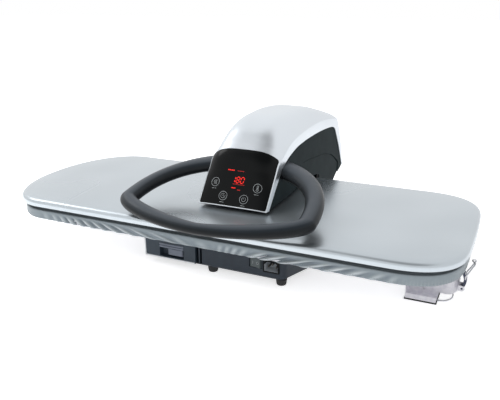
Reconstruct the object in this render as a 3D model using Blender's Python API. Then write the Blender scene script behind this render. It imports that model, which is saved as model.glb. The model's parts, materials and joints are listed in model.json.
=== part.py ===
"""Steam ironing press: a padded board on a low base, and a heated plate on a lifting arm."""

import math

import bmesh
import bpy
from mathutils import Matrix, Vector

# Frame while modelling: X along the board, Y from the user to the back, Z up, metres,
# with the floor at zero and the board's centre on the Z axis. Lengths are set in the
# first part, and the levels and places that follow from them are worked out below it.

FIT_GAP = 0.0003
CUT_OVERRUN = 0.004

# Heated plate and board, seen from above
PLATE_LENGTH = 0.900
PLATE_WIDTH = 0.378
NOSE_LENGTH = 0.118
NOSE_POWER = 2.1
CORNER_RADIUS = 0.113
CORNER_POWER = 2.75
END_BULGE = 0.007
BOARD_SHORTFALL = 0.005
SMALLEST_CORNER = 0.004
CORNER_STEPS = 8
SIDE_STEPS = 3
NOSE_STEPS = 11

# Base housing and feet
FOOT_HEIGHT = 0.012
FOOT_RADIUS = 0.010
FOOT_TAPER = 0.0015
FOOT_BORE_RADIUS = 0.0032
FOOT_BORE_DEPTH = 0.005
FOOT_EDGE = 0.0012
FRONT_FOOT_SETBACK = 0.0125
REAR_FOOT_SETBACK = 0.022
FOOT_PAST_BAY = 0.016
FOOT_SIDE_SETBACK = 0.0115
REAR_FOOT_LEFT_SETBACK = 0.024
REAR_FOOT_RIGHT_REACH = 0.0015
BASE_HEIGHT = 0.0552
BASE_FRONT_SETBACK = 0.034
BASE_BACK_SETBACK = 0.017
BASE_LEFT_X = -0.109
BASE_RIGHT_X = 0.1665
BASE_CORNER = 0.012
BASE_CORNER_STEPS = 4
BASE_FLARE = 0.0205
BASE_FLARE_RUN = 0.058
BASE_WALL = 0.0025
BASE_EDGE = 0.003
BAY_RIGHT_X = 0.0074
BAY_DIVIDER = 0.0071
BAY_DEPTH = 0.220

# Board: pan, felt pad and cover
PAN_SHEET = 0.0012
PAN_RIM_DROP = 0.0075
PAN_EDGE = 0.0015
PAD_THICKNESS = 0.010
PAD_INSET = 0.0072
PAD_CROWN = 0.0012
PAD_EDGE = 0.003
COVER_THICKNESS = 0.0010
COVER_INSET = 0.0045
SKIRT_DROP = 0.0210
HEM_TURN = 0.010
HEM_THICKNESS = 0.0012
FOLD_DEPTH = 0.0025
FOLD_SPACING = 0.034
COVER_STEPS_PER_SIDE = 16

# Heated plate, upwards from the board
PRESS_GAP = 0.0006
SOLE_THICKNESS = 0.0045
SOLE_INSET = 0.010
SOLE_EDGE = 0.003
SOLE_LIP = 0.0014
SHELL_LIFT = 0.0041
SHELL_SHEET = 0.0014
SHELL_RIM = 0.0120
SHELL_CROWN = 0.0050
SHELL_CROWN_INSET = 0.100
STEAM_HOLE_RADIUS = 0.0022
STEAM_HOLE_SIDES = 6
STEAM_ROWS = 3
STEAM_COLUMNS = 9
STEAM_SIDE_MARGIN = 0.081
STEAM_END_MARGIN = 0.099
ELEMENT_RADIUS = 0.0035
ELEMENT_INSET = 0.050
ELEMENT_SIDES = 6
ELEMENT_TAIL = 0.030
ELEMENT_GAP_HALF = 0.016
STEAM_BOX_LENGTH = 0.440
STEAM_BOX_WIDTH = 0.150
STEAM_BOX_HEIGHT = 0.0062
STEAM_BOX_WALL = 0.0015
MAT_THICKNESS = 0.0022
MAT_INSET = 0.030
THERMOSTAT_RADIUS = 0.008
THERMOSTAT_HEIGHT = 0.0055
THERMOSTAT_OFFSET = 0.045

# Arm: its place, width and the hinge
ARM_X = 0.0385
ARM_WIDTH = 0.136
HINGE_BEHIND_PLATE = 0.136
HINGE_BELOW_SHELL = 0.0040
SHAFT_RADIUS = 0.006
SHAFT_GAP = 0.0003
CLIP_RADIUS = 0.010
CLIP_THICKNESS = 0.0016
CLIP_GROOVE = 0.0010
COVER_FRONT_SETBACK = 0.0915
COVER_FRONT_LIFT = 0.0057
COVER_PAST_HINGE = 0.0504
COVER_RISE = 0.1111
COVER_CROWN = 0.040
COVER_WALL = 0.0025
CLOSE_STATION = 0.0045
PANEL_RECESS = 0.0025
PANEL_THICKNESS = 0.0020
PANEL_TRIM = 0.0030
PANEL_SEAT_GAP = 0.0005
SIDE_INSET = 0.0015
SIDE_WALL = 0.0025
SIDE_STEP = 0.0010
SIDE_FOOT_LIFT = 0.0045
BOSS_RADIUS = 0.0045
BELLY_THICKNESS = 0.0025
BELLY_BACK_SETBACK = 0.014
BELLY_LIFT = 0.0040
FRAME_SIDE_ROOM = 0.0135
FRAME_SHEET = 0.003
COLUMN_SIDE_GAP = 0.0015
COLUMN_CHEEK = 0.016
COLUMN_DRUM = 0.0375
COLUMN_BEHIND_PLATE = 0.011
COLUMN_STEM = 0.032
COLUMN_SHELF_DROP = 0.010
COLUMN_SLOT_DEPTH = 0.018
SPRING_RADIUS = 0.0125
SPRING_WIRE = 0.0016
SPRING_PITCH = 0.0042
SPRING_TURNS = 5.75
SPRING_STEPS = 12

# Plate pivot
PIVOT_Y = 0.020
PIVOT_LIFT = 0.027
PIVOT_RADIUS = 0.0045
BRACKET_LENGTH = 0.100
BRACKET_HALF = 0.034
BRACKET_SHEET = 0.003
BRACKET_EAR_RADIUS = 0.012

# Handle loop
HANDLE_HALF_WIDTH = 0.1840
HANDLE_SETBACK = 0.0190
HANDLE_FRONT_REACH = 0.0690
HANDLE_BACK_REACH = 0.2020
HANDLE_SIDE_BAR = 0.0325
HANDLE_FRONT_BAR = 0.0220
HANDLE_BACK_BAR = 0.0520
HANDLE_OUTER_POWERS = (1.80, 1.86)
HANDLE_INNER_POWERS = (1.32, 1.95)
HANDLE_FRONT_LIFT = 0.0085
HANDLE_SLOPE = 0.220
HANDLE_SIDE_RISE = 0.0125
HANDLE_FRONT_RISE = 0.0092
HANDLE_STEPS = 54
HANDLE_TURN_START = -76
HANDLE_HOLE_GAP = 0.0006

# Control unit behind the glass
BOARD_PCB_THICKNESS = 0.0016
CONTROL_SIDE_ROOM = 0.023
CONTROL_HEIGHT = 0.055
CONTROL_DEPTH = 0.008
POST_RADIUS = 0.003
POST_SPREAD_share = 0.55

# Switch and inlet
SWITCH_FROM_RIGHT = 0.054
SWITCH_RISE = 0.0255
SWITCH_WIDTH = 0.0225
SWITCH_HEIGHT = 0.0170
SWITCH_FRAME_EDGE = 0.0007
SWITCH_FLANGE = 0.0015
SWITCH_DEPTH = 0.016
SWITCH_WALL = 0.0009
SWITCH_TILT = math.radians(9)
ROCKER_GAP = 0.0005
ROCKER_DEPTH = 0.0065
ROCKER_PROUD = 0.0022
ROCKER_AXIS_DEPTH = 0.0040
ROCKER_PIN_RADIUS = 0.0012
INLET_FROM_RIGHT = 0.025
INLET_RISE = 0.0232
INLET_WIDTH = 0.0245
INLET_HEIGHT = 0.0168
INLET_CHAMFER = 0.0050
INLET_DEPTH = 0.0160
INLET_WALL = 0.0012
INLET_FLANGE = 0.0020
INLET_FLANGE_EDGE = 0.0014
INLET_BACK = 0.0030
INLET_PIN_WIDTH = 0.0020
INLET_PIN_HEIGHT = 0.0040
INLET_PIN_SPREAD = 0.0070
INLET_EARTH_RISE = 0.0040
INLET_PIN_LENGTH = 0.0125
INLET_TAIL = 0.0070

# Water tank drawer
TANK_FRONT_OVERLAP = 0.0022
TANK_FRONT_GAP = 0.0124
TANK_FRONT_PROUD = 0.0020
TANK_FRONT_DEPTH = 0.0140
TANK_FRONT_HEADROOM = 0.0122
TANK_FRONT_FLOOR = 0.0010
TANK_FRONT_CORNER = 0.004
GRIP_SETBACK = 0.0319
GRIP_WIDTH = 0.0503
GRIP_HEIGHT = 0.0170
GRIP_DEPTH = 0.0105
GRIP_FLOOR = 0.0020
GRIP_RIDGE = 0.0014
GRIP_RIDGE_PITCH = 0.0038
GRIP_RIDGES = 2
TANK_WALL = 0.0020
TANK_SIDE_GAP = 0.0020
TANK_HEADROOM = 0.0167
TANK_LID_THICKNESS = 0.0020
TANK_MOUTH = 0.050
VALVE_RADIUS = 0.006
VALVE_LENGTH = 0.006
VALVE_NOSE = 0.003

# Inside the base
PUMP_RADIUS = 0.0150
PUMP_LENGTH = 0.062
PUMP_NECK_RADIUS = 0.0085
PUMP_NECK = 0.012
PUMP_PAST_DIVIDER = 0.0515
PUMP_Y = -0.020
POWER_PCB_LENGTH = 0.085
POWER_PCB_WIDTH = 0.060
POWER_PCB_FROM_RIGHT = 0.0485
POWER_PCB_FROM_BACK = 0.087
POWER_LEG = 0.006
POWER_LEG_RADIUS = 0.0030
TRANSFORMER_SIZE = 0.026
CAPACITOR_RADIUS = 0.008
CAPACITOR_HEIGHT = 0.020
HOSE_RADIUS = 0.0030
HOSE_SIDES = 6

# End bracket under the board and the latch at the board's right end
BRACKET_SPAN = 0.049
BRACKET_SETBACK = 0.044
BRACKET_FRONT_SETBACK = 0.081
BRACKET_DEPTH = 0.048
BRACKET_STEEL = 0.0015
BRACKET_LIP = 0.0085
BRACKET_WEB_SETBACK = 0.023
BRACKET_GUSSET = 0.034
BRACKET_SLOT = 0.0030
BRACKET_DISC = 0.0090
STRIP_THICKNESS = 0.0027
STRIP_OVERHANG = 0.0015
WING_BELOW_SKIRT = 0.0133
WING_FOOT_Z = 0.012
WING_SHEET = 0.0015
WING_SAG = 0.006
WING_LAP = 0.008
WING_STEPS = 6
LOOP_WIRE = 0.0014
LOOP_REACH = 0.022
LOOP_WIDTH = 0.030
LOOP_RISE = 0.005
LATCH_SETBACK = 0.0085
LATCH_OFFSET = 0.003
LATCH_BELOW_WING = 0.016
LATCH_WIDTH = 0.012
LATCH_LENGTH = 0.026
LATCH_THICKNESS = 0.0044
LATCH_BOW = 0.004
LATCH_PIN_RADIUS = 0.0014
LATCH_KNUCKLE = 0.0030
LATCH_STEPS = 5
LATCH_EAR = 0.0020
LATCH_EAR_RADIUS = 0.0045
BAIL_WIRE = 0.0012
BAIL_HEIGHT = 0.030
BAIL_LEAN = 0.0115
BAIL_HOOK = 0.0035
BAIL_PIVOT_share = 0.62
WIRE_SIDES = 6

ROUND_STEPS = 20
SMOOTH_LIMIT = math.radians(38)
EDGE_LIMIT = math.radians(50)

# Levels that follow from the sizes above
FLOOR_TOP = FOOT_HEIGHT + BASE_WALL
BASE_TOP = FOOT_HEIGHT + BASE_HEIGHT
PAN_UNDER = BASE_TOP + FIT_GAP
PAN_TOP = PAN_UNDER + PAN_SHEET
PAD_UNDER = PAN_TOP + FIT_GAP
PAD_TOP = PAD_UNDER + PAD_THICKNESS
COVER_UNDER = PAD_TOP + FIT_GAP
COVER_TOP = COVER_UNDER + COVER_THICKNESS
SKIRT_FOOT = COVER_TOP - SKIRT_DROP
SOLE_UNDER = COVER_TOP + PRESS_GAP
SOLE_TOP = SOLE_UNDER + SOLE_THICKNESS
SHELL_FOOT = SOLE_UNDER + SHELL_LIFT
SHELL_TOP = SHELL_FOOT + SHELL_RIM + SHELL_CROWN
PAN_INSET = COVER_INSET + COVER_THICKNESS + FIT_GAP
STEAM_TOP = SOLE_TOP + FIT_GAP + STEAM_BOX_HEIGHT
HINGE_Z = SHELL_TOP - HINGE_BELOW_SHELL
PIVOT_Z = SHELL_TOP + PIVOT_LIFT
SIDE_FOOT_Z = SHELL_TOP + SIDE_FOOT_LIFT
COVER_FRONT_Z = SHELL_TOP + COVER_FRONT_LIFT
HANDLE_FRONT_Z = SHELL_TOP + HANDLE_FRONT_LIFT
COLUMN_SHELF_Z = BASE_TOP - COLUMN_SHELF_DROP
COLUMN_SLOT_FLOOR = HINGE_Z - COLUMN_SLOT_DEPTH
SWITCH_Z = FOOT_HEIGHT + SWITCH_RISE
INLET_Z = FOOT_HEIGHT + INLET_RISE
TANK_FRONT_HEIGHT = BASE_HEIGHT - TANK_FRONT_HEADROOM
TANK_HEIGHT = BASE_HEIGHT - TANK_HEADROOM
WING_TOP_Z = SKIRT_FOOT - WING_BELOW_SKIRT
LATCH_Z = WING_TOP_Z - LATCH_BELOW_WING

# Places in plan that follow from the plate, the base and the arm
HALF_LENGTH = PLATE_LENGTH / 2
HALF_WIDTH = PLATE_WIDTH / 2
BASE_FRONT_Y = BASE_FRONT_SETBACK - HALF_WIDTH
BASE_BACK_Y = HALF_WIDTH - BASE_BACK_SETBACK
BASE_BACK_INNER_Y = BASE_BACK_Y - BASE_WALL
BAY_BACK_Y = BASE_FRONT_Y + BAY_DEPTH
DIVIDER_X = BAY_RIGHT_X + BAY_DIVIDER
FRONT_FOOT_Y = BASE_FRONT_Y + FRONT_FOOT_SETBACK
REAR_FOOT_Y = BASE_BACK_Y - REAR_FOOT_SETBACK
FRONT_FOOT_XS = (BAY_RIGHT_X + FOOT_PAST_BAY, BASE_RIGHT_X - FOOT_SIDE_SETBACK)
REAR_FOOT_XS = (BASE_LEFT_X + REAR_FOOT_LEFT_SETBACK, BASE_RIGHT_X + REAR_FOOT_RIGHT_REACH)
SWITCH_X = BASE_RIGHT_X - SWITCH_FROM_RIGHT
INLET_X = BASE_RIGHT_X - INLET_FROM_RIGHT
TANK_FRONT_LEFT_X = BASE_LEFT_X - TANK_FRONT_OVERLAP
TANK_FRONT_RIGHT_X = BAY_RIGHT_X - TANK_FRONT_GAP
GRIP_LEFT_X = TANK_FRONT_LEFT_X + GRIP_SETBACK
PUMP_X = DIVIDER_X + PUMP_PAST_DIVIDER
POWER_PCB_X = BASE_RIGHT_X - POWER_PCB_FROM_RIGHT
POWER_PCB_Y = BASE_BACK_Y - POWER_PCB_FROM_BACK
STEAM_COLUMN_PITCH = 2 * (HALF_LENGTH - STEAM_END_MARGIN) / STEAM_COLUMNS
STEAM_ROW_PITCH = 2 * (HALF_WIDTH - STEAM_SIDE_MARGIN) / STEAM_ROWS
THERMOSTAT_X = -STEAM_BOX_LENGTH / 2 - THERMOSTAT_OFFSET
ARM_HALF = ARM_WIDTH / 2
FRAME_HALF = ARM_HALF - FRAME_SIDE_ROOM
COLUMN_HALF = FRAME_HALF - FRAME_SHEET - COLUMN_SIDE_GAP
HINGE_Y = HALF_WIDTH + HINGE_BEHIND_PLATE
COLUMN_FRONT_Y = HALF_WIDTH + COLUMN_BEHIND_PLATE
COLUMN_BACK_Y = COLUMN_FRONT_Y + COLUMN_STEM
BELLY_BACK_Y = HALF_WIDTH - BELLY_BACK_SETBACK
COVER_FRONT_Y = COVER_FRONT_SETBACK - HALF_WIDTH
COVER_RUN = HINGE_Y + COVER_PAST_HINGE - COVER_FRONT_Y
HANDLE_CENTRE_Y = HANDLE_SETBACK - HALF_WIDTH
HANDLE_FRONT_Y = HANDLE_CENTRE_Y - HANDLE_FRONT_REACH
CONTROL_HALF = ARM_HALF - CONTROL_SIDE_ROOM
BRACKET_RIGHT_X = HALF_LENGTH - BRACKET_SETBACK
BRACKET_LEFT_X = BRACKET_RIGHT_X - BRACKET_SPAN
BRACKET_FRONT_Y = BRACKET_FRONT_SETBACK - HALF_WIDTH
BRACKET_BACK_Y = BRACKET_FRONT_Y + BRACKET_DEPTH
BRACKET_WEB_Y = BRACKET_FRONT_Y + BRACKET_WEB_SETBACK
LATCH_X = HALF_LENGTH - LATCH_SETBACK
LATCH_Y = BRACKET_WEB_Y - LATCH_OFFSET

# The arm cover's side crease, as shares of its run and rise from the panel's lower edge,
# the share of the crown that the middle adds there, and the lower edge of the side band
CREASE_shares = [
    (0.000, 0.000), (0.0045, 0.024), (0.045, 0.240), (0.092, 0.480), (0.137, 0.690), (0.141, 0.697),
    (0.168, 0.742),
    (0.214, 0.836), (0.273, 0.914), (0.387, 0.974), (0.512, 1.000), (0.649, 0.990), (0.748, 0.950),
    (0.820, 0.905), (0.855, 0.882), (0.870, 0.862), (0.880, 0.820), (0.898, 0.721), (0.930, 0.480),
    (0.959, 0.243), (0.982, 0.000), (1.000, -0.237)]
CROWN_shares = [
    0.08, 0.09, 0.20, 0.36, 0.50, 0.52, 0.64,
    0.86, 0.97, 0.95, 0.86, 0.68, 0.50,
    0.40, 0.34, 0.32, 0.30, 0.28, 0.23,
    0.17, 0.11, 0.05]
BAND_shares = [
    (0.028, -0.010), (0.032, 0.009), (0.066, 0.165), (0.104, 0.335), (0.148, 0.500), (0.153, 0.516),
    (0.182, 0.600),
    (0.224, 0.678), (0.292, 0.752), (0.393, 0.800), (0.512, 0.815), (0.630, 0.808), (0.712, 0.790),
    (0.778, 0.764), (0.806, 0.744), (0.826, 0.715), (0.842, 0.675), (0.862, 0.570), (0.893, 0.400),
    (0.922, 0.230), (0.955, 0.000), (0.988, -0.237)]
ACROSS_shares = (0.25, 0.45, 0.62, 0.75, 0.85, 0.93, 1.0)
PANEL_START = 1
PANEL_END = 4
CROWN_POWER_FRONT = 3.7
CROWN_POWER_TOP = 3.9

# The stepped line on the side panels, in the same shares
PARTING_shares = [
    (0.300, 0.255), (0.351, 0.381), (0.440, 0.400), (0.527, 0.370), (0.615, 0.330),
    (0.700, 0.288), (0.770, 0.215), (0.829, 0.131), (0.880, 0.020), (0.930, -0.120)]

# The side panels' lower edge from the rear corner forward, below the hinge and behind the board
HEEL_shares = [(0.979, -0.260), (0.9135, -0.346), (0.866, -0.457), (0.819, -0.519), (0.682, -0.519),
               (0.645, -0.339), (0.6386, -0.080), (0.618, -0.038), (0.5995, -0.030), (0.555, -0.0108)]

# Places where the side panels' bosses meet the arm frame
BOSS_shares = [(0.300, 0.420), (0.560, 0.450), (0.760, 0.330)]

# The steel arm frame's outline in the same shares, front end to hinge end along its top
FRAME_TOP_shares = [(0.135, 0.330), (0.165, 0.500), (0.225, 0.600), (0.330, 0.650), (0.480, 0.670),
                    (0.620, 0.655), (0.740, 0.600), (0.830, 0.480)]
FRAME_WEB_share = 0.045

# The handle's section: shares of its half width outwards and of its half height upwards
HANDLE_SECTION_shares = [
    (1.0, 0.0), (0.82, 0.60), (0.40, 0.94), (-0.10, 1.0), (-0.56, 0.82), (-0.88, 0.44),
    (-1.0, 0.0), (-0.84, -0.55), (-0.42, -0.92), (0.10, -1.0), (0.58, -0.84), (0.88, -0.44)]

# The shell's rounded rim from its foot: shares of the rim inwards, of the rim and of the crown upwards
SHELL_RIM_shares = [(0.0, 0.0, 0.0), (0.0, 0.38, 0.0), (0.04, 0.62, 0.0), (0.17, 0.83, 0.0), (0.42, 1.0, 0.0),
                    (0.9, 1.0, 0.28), (2.2, 1.0, 0.55)]
SHELL_INNER_shares = [(2.2, 1.0, 0.55), (0.6, 1.0, 0.0), (0.3, 0.87, 0.0)]


def clear_scene():
    for item in list(bpy.data.objects):
        bpy.data.objects.remove(item, do_unlink=True)


def make_material(name, colour, roughness, metallic=0.0):
    material = bpy.data.materials.new(name)
    material.use_nodes = True
    shader = material.node_tree.nodes["Principled BSDF"]
    shader.inputs["Base Color"].default_value = (*colour, 1.0)
    shader.inputs["Roughness"].default_value = roughness
    shader.inputs["Metallic"].default_value = metallic
    material.diffuse_color = (*colour, 1.0)
    return material


BODIES = {}


def add_body(name, point, parent=None):
    """An empty on a joint's axis, which carries the pieces that turn or slide there."""
    empty = bpy.data.objects.new(name, None)
    bpy.context.collection.objects.link(empty)
    base = BODIES[parent][1] if parent else Vector((0, 0, 0))
    empty.location = Vector(point) - base
    if parent:
        empty.parent = BODIES[parent][0]
    BODIES[name] = (empty, Vector(point))


def add_object(name, shape, body):
    empty, point = BODIES[body]
    bmesh.ops.remove_doubles(shape, verts=shape.verts, dist=0.00001)
    bmesh.ops.recalc_face_normals(shape, faces=shape.faces)
    mesh = bpy.data.meshes.new(name)
    shape.to_mesh(mesh)
    shape.free()
    mesh.transform(Matrix.Translation(-point))
    item = bpy.data.objects.new(name, mesh)
    bpy.context.collection.objects.link(item)
    item.parent = empty
    return item


def add_piece(name, shape, material, body):
    item = add_object(name, shape, body)
    item.data.materials.append(material)
    item.data.shade_smooth()
    item.data.set_sharp_from_angle(angle=SMOOTH_LIMIT)
    return item


def cut(item, shapes, body):
    """Cut each shape out of a piece with its own cutter."""
    for number, shape in enumerate(shapes):
        cutter = add_object(f"{item.name}_cutter_{number}", shape, body)
        cutter.hide_render = True
        cutter.display_type = "WIRE"
        modifier = item.modifiers.new(cutter.name, "BOOLEAN")
        modifier.operation = "DIFFERENCE"
        modifier.solver = "EXACT"
        modifier.object = cutter


def join(item, shapes, body):
    """Join each shape to a piece that it overlaps."""
    for number, shape in enumerate(shapes):
        other = add_object(f"{item.name}_joined_{number}", shape, body)
        other.hide_render = True
        other.display_type = "WIRE"
        modifier = item.modifiers.new(other.name, "BOOLEAN")
        modifier.operation = "UNION"
        modifier.solver = "EXACT"
        modifier.object = other


def soften(item, width, segments=2):
    modifier = item.modifiers.new("edge", "BEVEL")
    modifier.width = width
    modifier.segments = segments
    modifier.limit_method = "ANGLE"
    modifier.angle_limit = EDGE_LIMIT


def loft(rings, closed=False):
    """A closed solid through rings with equal point counts, capped at both ends."""
    shape = bmesh.new()
    rows = [[shape.verts.new(point) for point in ring] for ring in rings]
    count = len(rows[0])
    pairs = list(zip(rows, rows[1:]))
    if closed:
        pairs.append((rows[-1], rows[0]))
    for low, high in pairs:
        for index in range(count):
            following = (index + 1) % count
            shape.faces.new((low[index], low[following], high[following], high[index]))
    if not closed:
        shape.faces.new(rows[0])
        shape.faces.new(rows[-1])
    return shape


def split_short(shape):
    """Split each face across its shorter diagonal, so that a curved face and its neighbour agree."""
    bmesh.ops.triangulate(shape, faces=shape.faces, quad_method="SHORT_EDGE")
    return shape


def box(low, high):
    low, high = Vector(low), Vector(high)
    shape = bmesh.new()
    bmesh.ops.create_cube(shape, size=1)
    for vert in shape.verts:
        vert.co = (low + high) / 2 + Vector(a * b for a, b in zip(vert.co, high - low))
    return shape


def prism(outline, axis, low, high):
    """Extrude a flat outline along one axis. The outline gives the two other coordinates."""
    def at(point, level):
        values = list(point)
        values.insert("XYZ".index(axis), level)
        return values
    return loft([[at(point, low) for point in outline], [at(point, high) for point in outline]])


def rod(start, end, radius, steps=ROUND_STEPS, end_radius=None):
    """A round bar, or a cone where the far radius differs."""
    start, end = Vector(start), Vector(end)
    run = end - start
    shape = bmesh.new()
    bmesh.ops.create_cone(
        shape, cap_ends=True, segments=steps, radius1=radius,
        radius2=radius if end_radius is None else end_radius, depth=run.length)
    turn = run.to_track_quat("Z", "Y").to_matrix().to_4x4()
    bmesh.ops.transform(shape, matrix=Matrix.Translation((start + end) / 2) @ turn, verts=shape.verts)
    return shape


def turned(profile, centre, steps=ROUND_STEPS):
    """Spin a profile of (radius, height) about the vertical through a centre."""
    rings = []
    for radius, height in profile:
        ring = []
        for step in range(steps):
            angle = 2 * math.pi * step / steps
            ring.append((centre[0] + radius * math.cos(angle), centre[1] + radius * math.sin(angle), height))
        rings.append(ring)
    return loft(rings)


def arc(centre, radius, start, end, steps):
    """Points on an arc in a plane, angles in degrees."""
    points = []
    for step in range(steps + 1):
        angle = math.radians(start + (end - start) * step / steps)
        points.append((centre[0] + radius * math.cos(angle), centre[1] + radius * math.sin(angle)))
    return points


def tube(points, radius, sides=WIRE_SIDES, closed=False):
    """A round tube along points, with its frame carried along the path."""
    points = [Vector(point) for point in points]
    count = len(points)
    rings = []
    side = None
    for index, point in enumerate(points):
        if closed:
            ahead = points[(index + 1) % count] - points[index - 1]
        else:
            ahead = points[min(index + 1, count - 1)] - points[max(index - 1, 0)]
        ahead.normalize()
        if side is None:
            side = ahead.orthogonal().normalized()
        side = (side - ahead * side.dot(ahead)).normalized()
        over = ahead.cross(side)
        ring = []
        for step in range(sides):
            angle = 2 * math.pi * step / sides
            ring.append(point + (side * math.cos(angle) + over * math.sin(angle)) * radius)
        rings.append(ring)
    return loft(rings, closed)


def smooth_path(points, steps):
    """Points on a smooth curve through a few given ones."""
    points = [Vector(point) for point in points]
    ends = [2 * points[0] - points[1], *points, 2 * points[-1] - points[-2]]
    path = []
    for index in range(1, len(ends) - 2):
        a, b, c, d = ends[index - 1:index + 3]
        for step in range(steps):
            t = step / steps
            path.append(0.5 * (2 * b + (c - a) * t + (2 * a - 5 * b + 4 * c - d) * t * t
                               + (3 * b - a - 3 * c + d) * t ** 3))
    path.append(points[-1])
    return path


def signed_power(value, power):
    return math.copysign(abs(value) ** power, value)


def board_outline(inset, shortfall=0.0, side_steps=SIDE_STEPS, corner_steps=CORNER_STEPS,
                  nose_steps=NOSE_STEPS):
    """The plan of board or plate, moved in by an inset, from the right end round by the back."""
    half_width = HALF_WIDTH - inset
    right = HALF_LENGTH - inset
    nose = NOSE_LENGTH - inset - shortfall
    nose_start = NOSE_LENGTH - HALF_LENGTH
    corner = max(CORNER_RADIUS - inset, SMALLEST_CORNER)
    half = [(right, 0.0), (right, (half_width - corner) / 2)]
    for step in range(corner_steps + 1):
        angle = math.pi / 2 * step / corner_steps
        half.append((right - corner + corner * math.cos(angle) ** (2 / CORNER_POWER),
                     half_width - corner + corner * math.sin(angle) ** (2 / CORNER_POWER)))
    for step in range(1, side_steps):
        share = step / side_steps
        half.append((right - corner + (nose_start - right + corner) * share, half_width))
    for step in range(nose_steps + 1):
        angle = math.pi / 2 * step / nose_steps
        half.append((nose_start - nose * math.sin(angle) ** (2 / NOSE_POWER),
                     half_width * max(math.cos(angle), 0.0) ** (2 / NOSE_POWER)))
    half[-1] = (nose_start - nose, 0.0)
    bulged = []
    for x, y in half:
        bulge = END_BULGE * (y / half_width) ** 2 if x > 0 else 0.0
        bulged.append((x - bulge, y))
    return bulged + [(x, -y) for x, y in reversed(bulged[1:-1])]


def board_rings(profile, **plan):
    return [[(x, y, z) for x, y in board_outline(inset, **plan)] for inset, z in profile]


def cover_point(table, index):
    run, rise = table[index]
    return Vector((0, COVER_FRONT_Y + COVER_RUN * run, COVER_FRONT_Z + COVER_RISE * rise))


def side_points(table):
    return [(COVER_FRONT_Y + COVER_RUN * run, COVER_FRONT_Z + COVER_RISE * rise) for run, rise in table]


def crease_direction(index):
    """The way the crease runs at a station, from neighbours that are not close beside it."""
    crease = [cover_point(CREASE_shares, station) for station in range(len(CREASE_shares))]
    before, after = index, index
    while before > 0 and (crease[before] - crease[index]).length < CLOSE_STATION:
        before -= 1
    while after < len(crease) - 1 and (crease[after] - crease[index]).length < CLOSE_STATION:
        after += 1
    return (crease[after] - crease[before]).normalized()


def crease_normal(index):
    ahead = crease_direction(index)
    return Vector((0, -ahead.z, ahead.y))


def both_ways(shares):
    return [-share for share in reversed(shares)] + [0.0] + list(shares)


def cover_surface(index, across, depth):
    """A point on the crowned top at a station, across from -1 to 1, sunk by a depth."""
    normal = crease_normal(index)
    share = index / (len(CREASE_shares) - 1)
    power = CROWN_POWER_FRONT + (CROWN_POWER_TOP - CROWN_POWER_FRONT) * min(1.0, share * 2)
    lift = COVER_CROWN * CROWN_shares[index] * (1 - abs(across) ** power)
    point = cover_point(CREASE_shares, index) + normal * (lift - depth)
    return Vector((ARM_X + ARM_HALF * across, point.y, point.z))


def handle_edge(turn, half_width, front_reach, back_reach, powers):
    """A point on the loop's outer or inner edge, turning from its back through the front."""
    front = math.sin(turn) >= 0
    power = powers[0] if front else powers[1]
    reach = front_reach if front else back_reach
    x = ARM_X + half_width * signed_power(math.cos(turn), 2 / power)
    y = HANDLE_CENTRE_Y - reach * signed_power(math.sin(turn), 2 / power)
    z = HANDLE_FRONT_Z + HANDLE_SLOPE * (y - HANDLE_FRONT_Y)
    return Vector((x, y, z))


def handle_rings(growth=0.0):
    """Sections of the handle: round at the front, wider and flatter at the sides."""
    over = Vector((0, -HANDLE_SLOPE, 1)).normalized()
    start, end = math.radians(HANDLE_TURN_START), math.radians(180 - HANDLE_TURN_START)
    rings = []
    for step in range(HANDLE_STEPS + 1):
        turn = start + (end - start) * step / HANDLE_STEPS
        outer = handle_edge(turn, HANDLE_HALF_WIDTH + growth, HANDLE_FRONT_REACH + growth,
                            HANDLE_BACK_REACH + growth, HANDLE_OUTER_POWERS)
        inner = handle_edge(turn, HANDLE_HALF_WIDTH - HANDLE_SIDE_BAR - growth,
                            HANDLE_FRONT_REACH - HANDLE_FRONT_BAR - growth,
                            HANDLE_BACK_REACH - HANDLE_BACK_BAR - growth, HANDLE_INNER_POWERS)
        frontness = max(math.sin(turn), 0.0) ** 2
        rise = growth + HANDLE_SIDE_RISE + (HANDLE_FRONT_RISE - HANDLE_SIDE_RISE) * frontness
        middle, side = (outer + inner) / 2, (outer - inner) / 2
        rings.append([middle + side * a + over * rise * b for a, b in HANDLE_SECTION_shares])
    return rings


def base_outline(inset):
    """Plan of the base housing, with a rounded and flared right side."""
    corner = BASE_CORNER - inset
    right = BASE_RIGHT_X - inset
    front = BASE_FRONT_Y + inset
    back = BASE_BACK_Y - inset
    left = BASE_LEFT_X + inset
    points = [(left, back), (left, front)]
    points += arc((right - corner, front + corner), corner, -90, 0, BASE_CORNER_STEPS)
    points += [(right + BASE_FLARE, BASE_FRONT_Y + BASE_CORNER + BASE_FLARE_RUN), (right + BASE_FLARE, back)]
    return points


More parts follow.
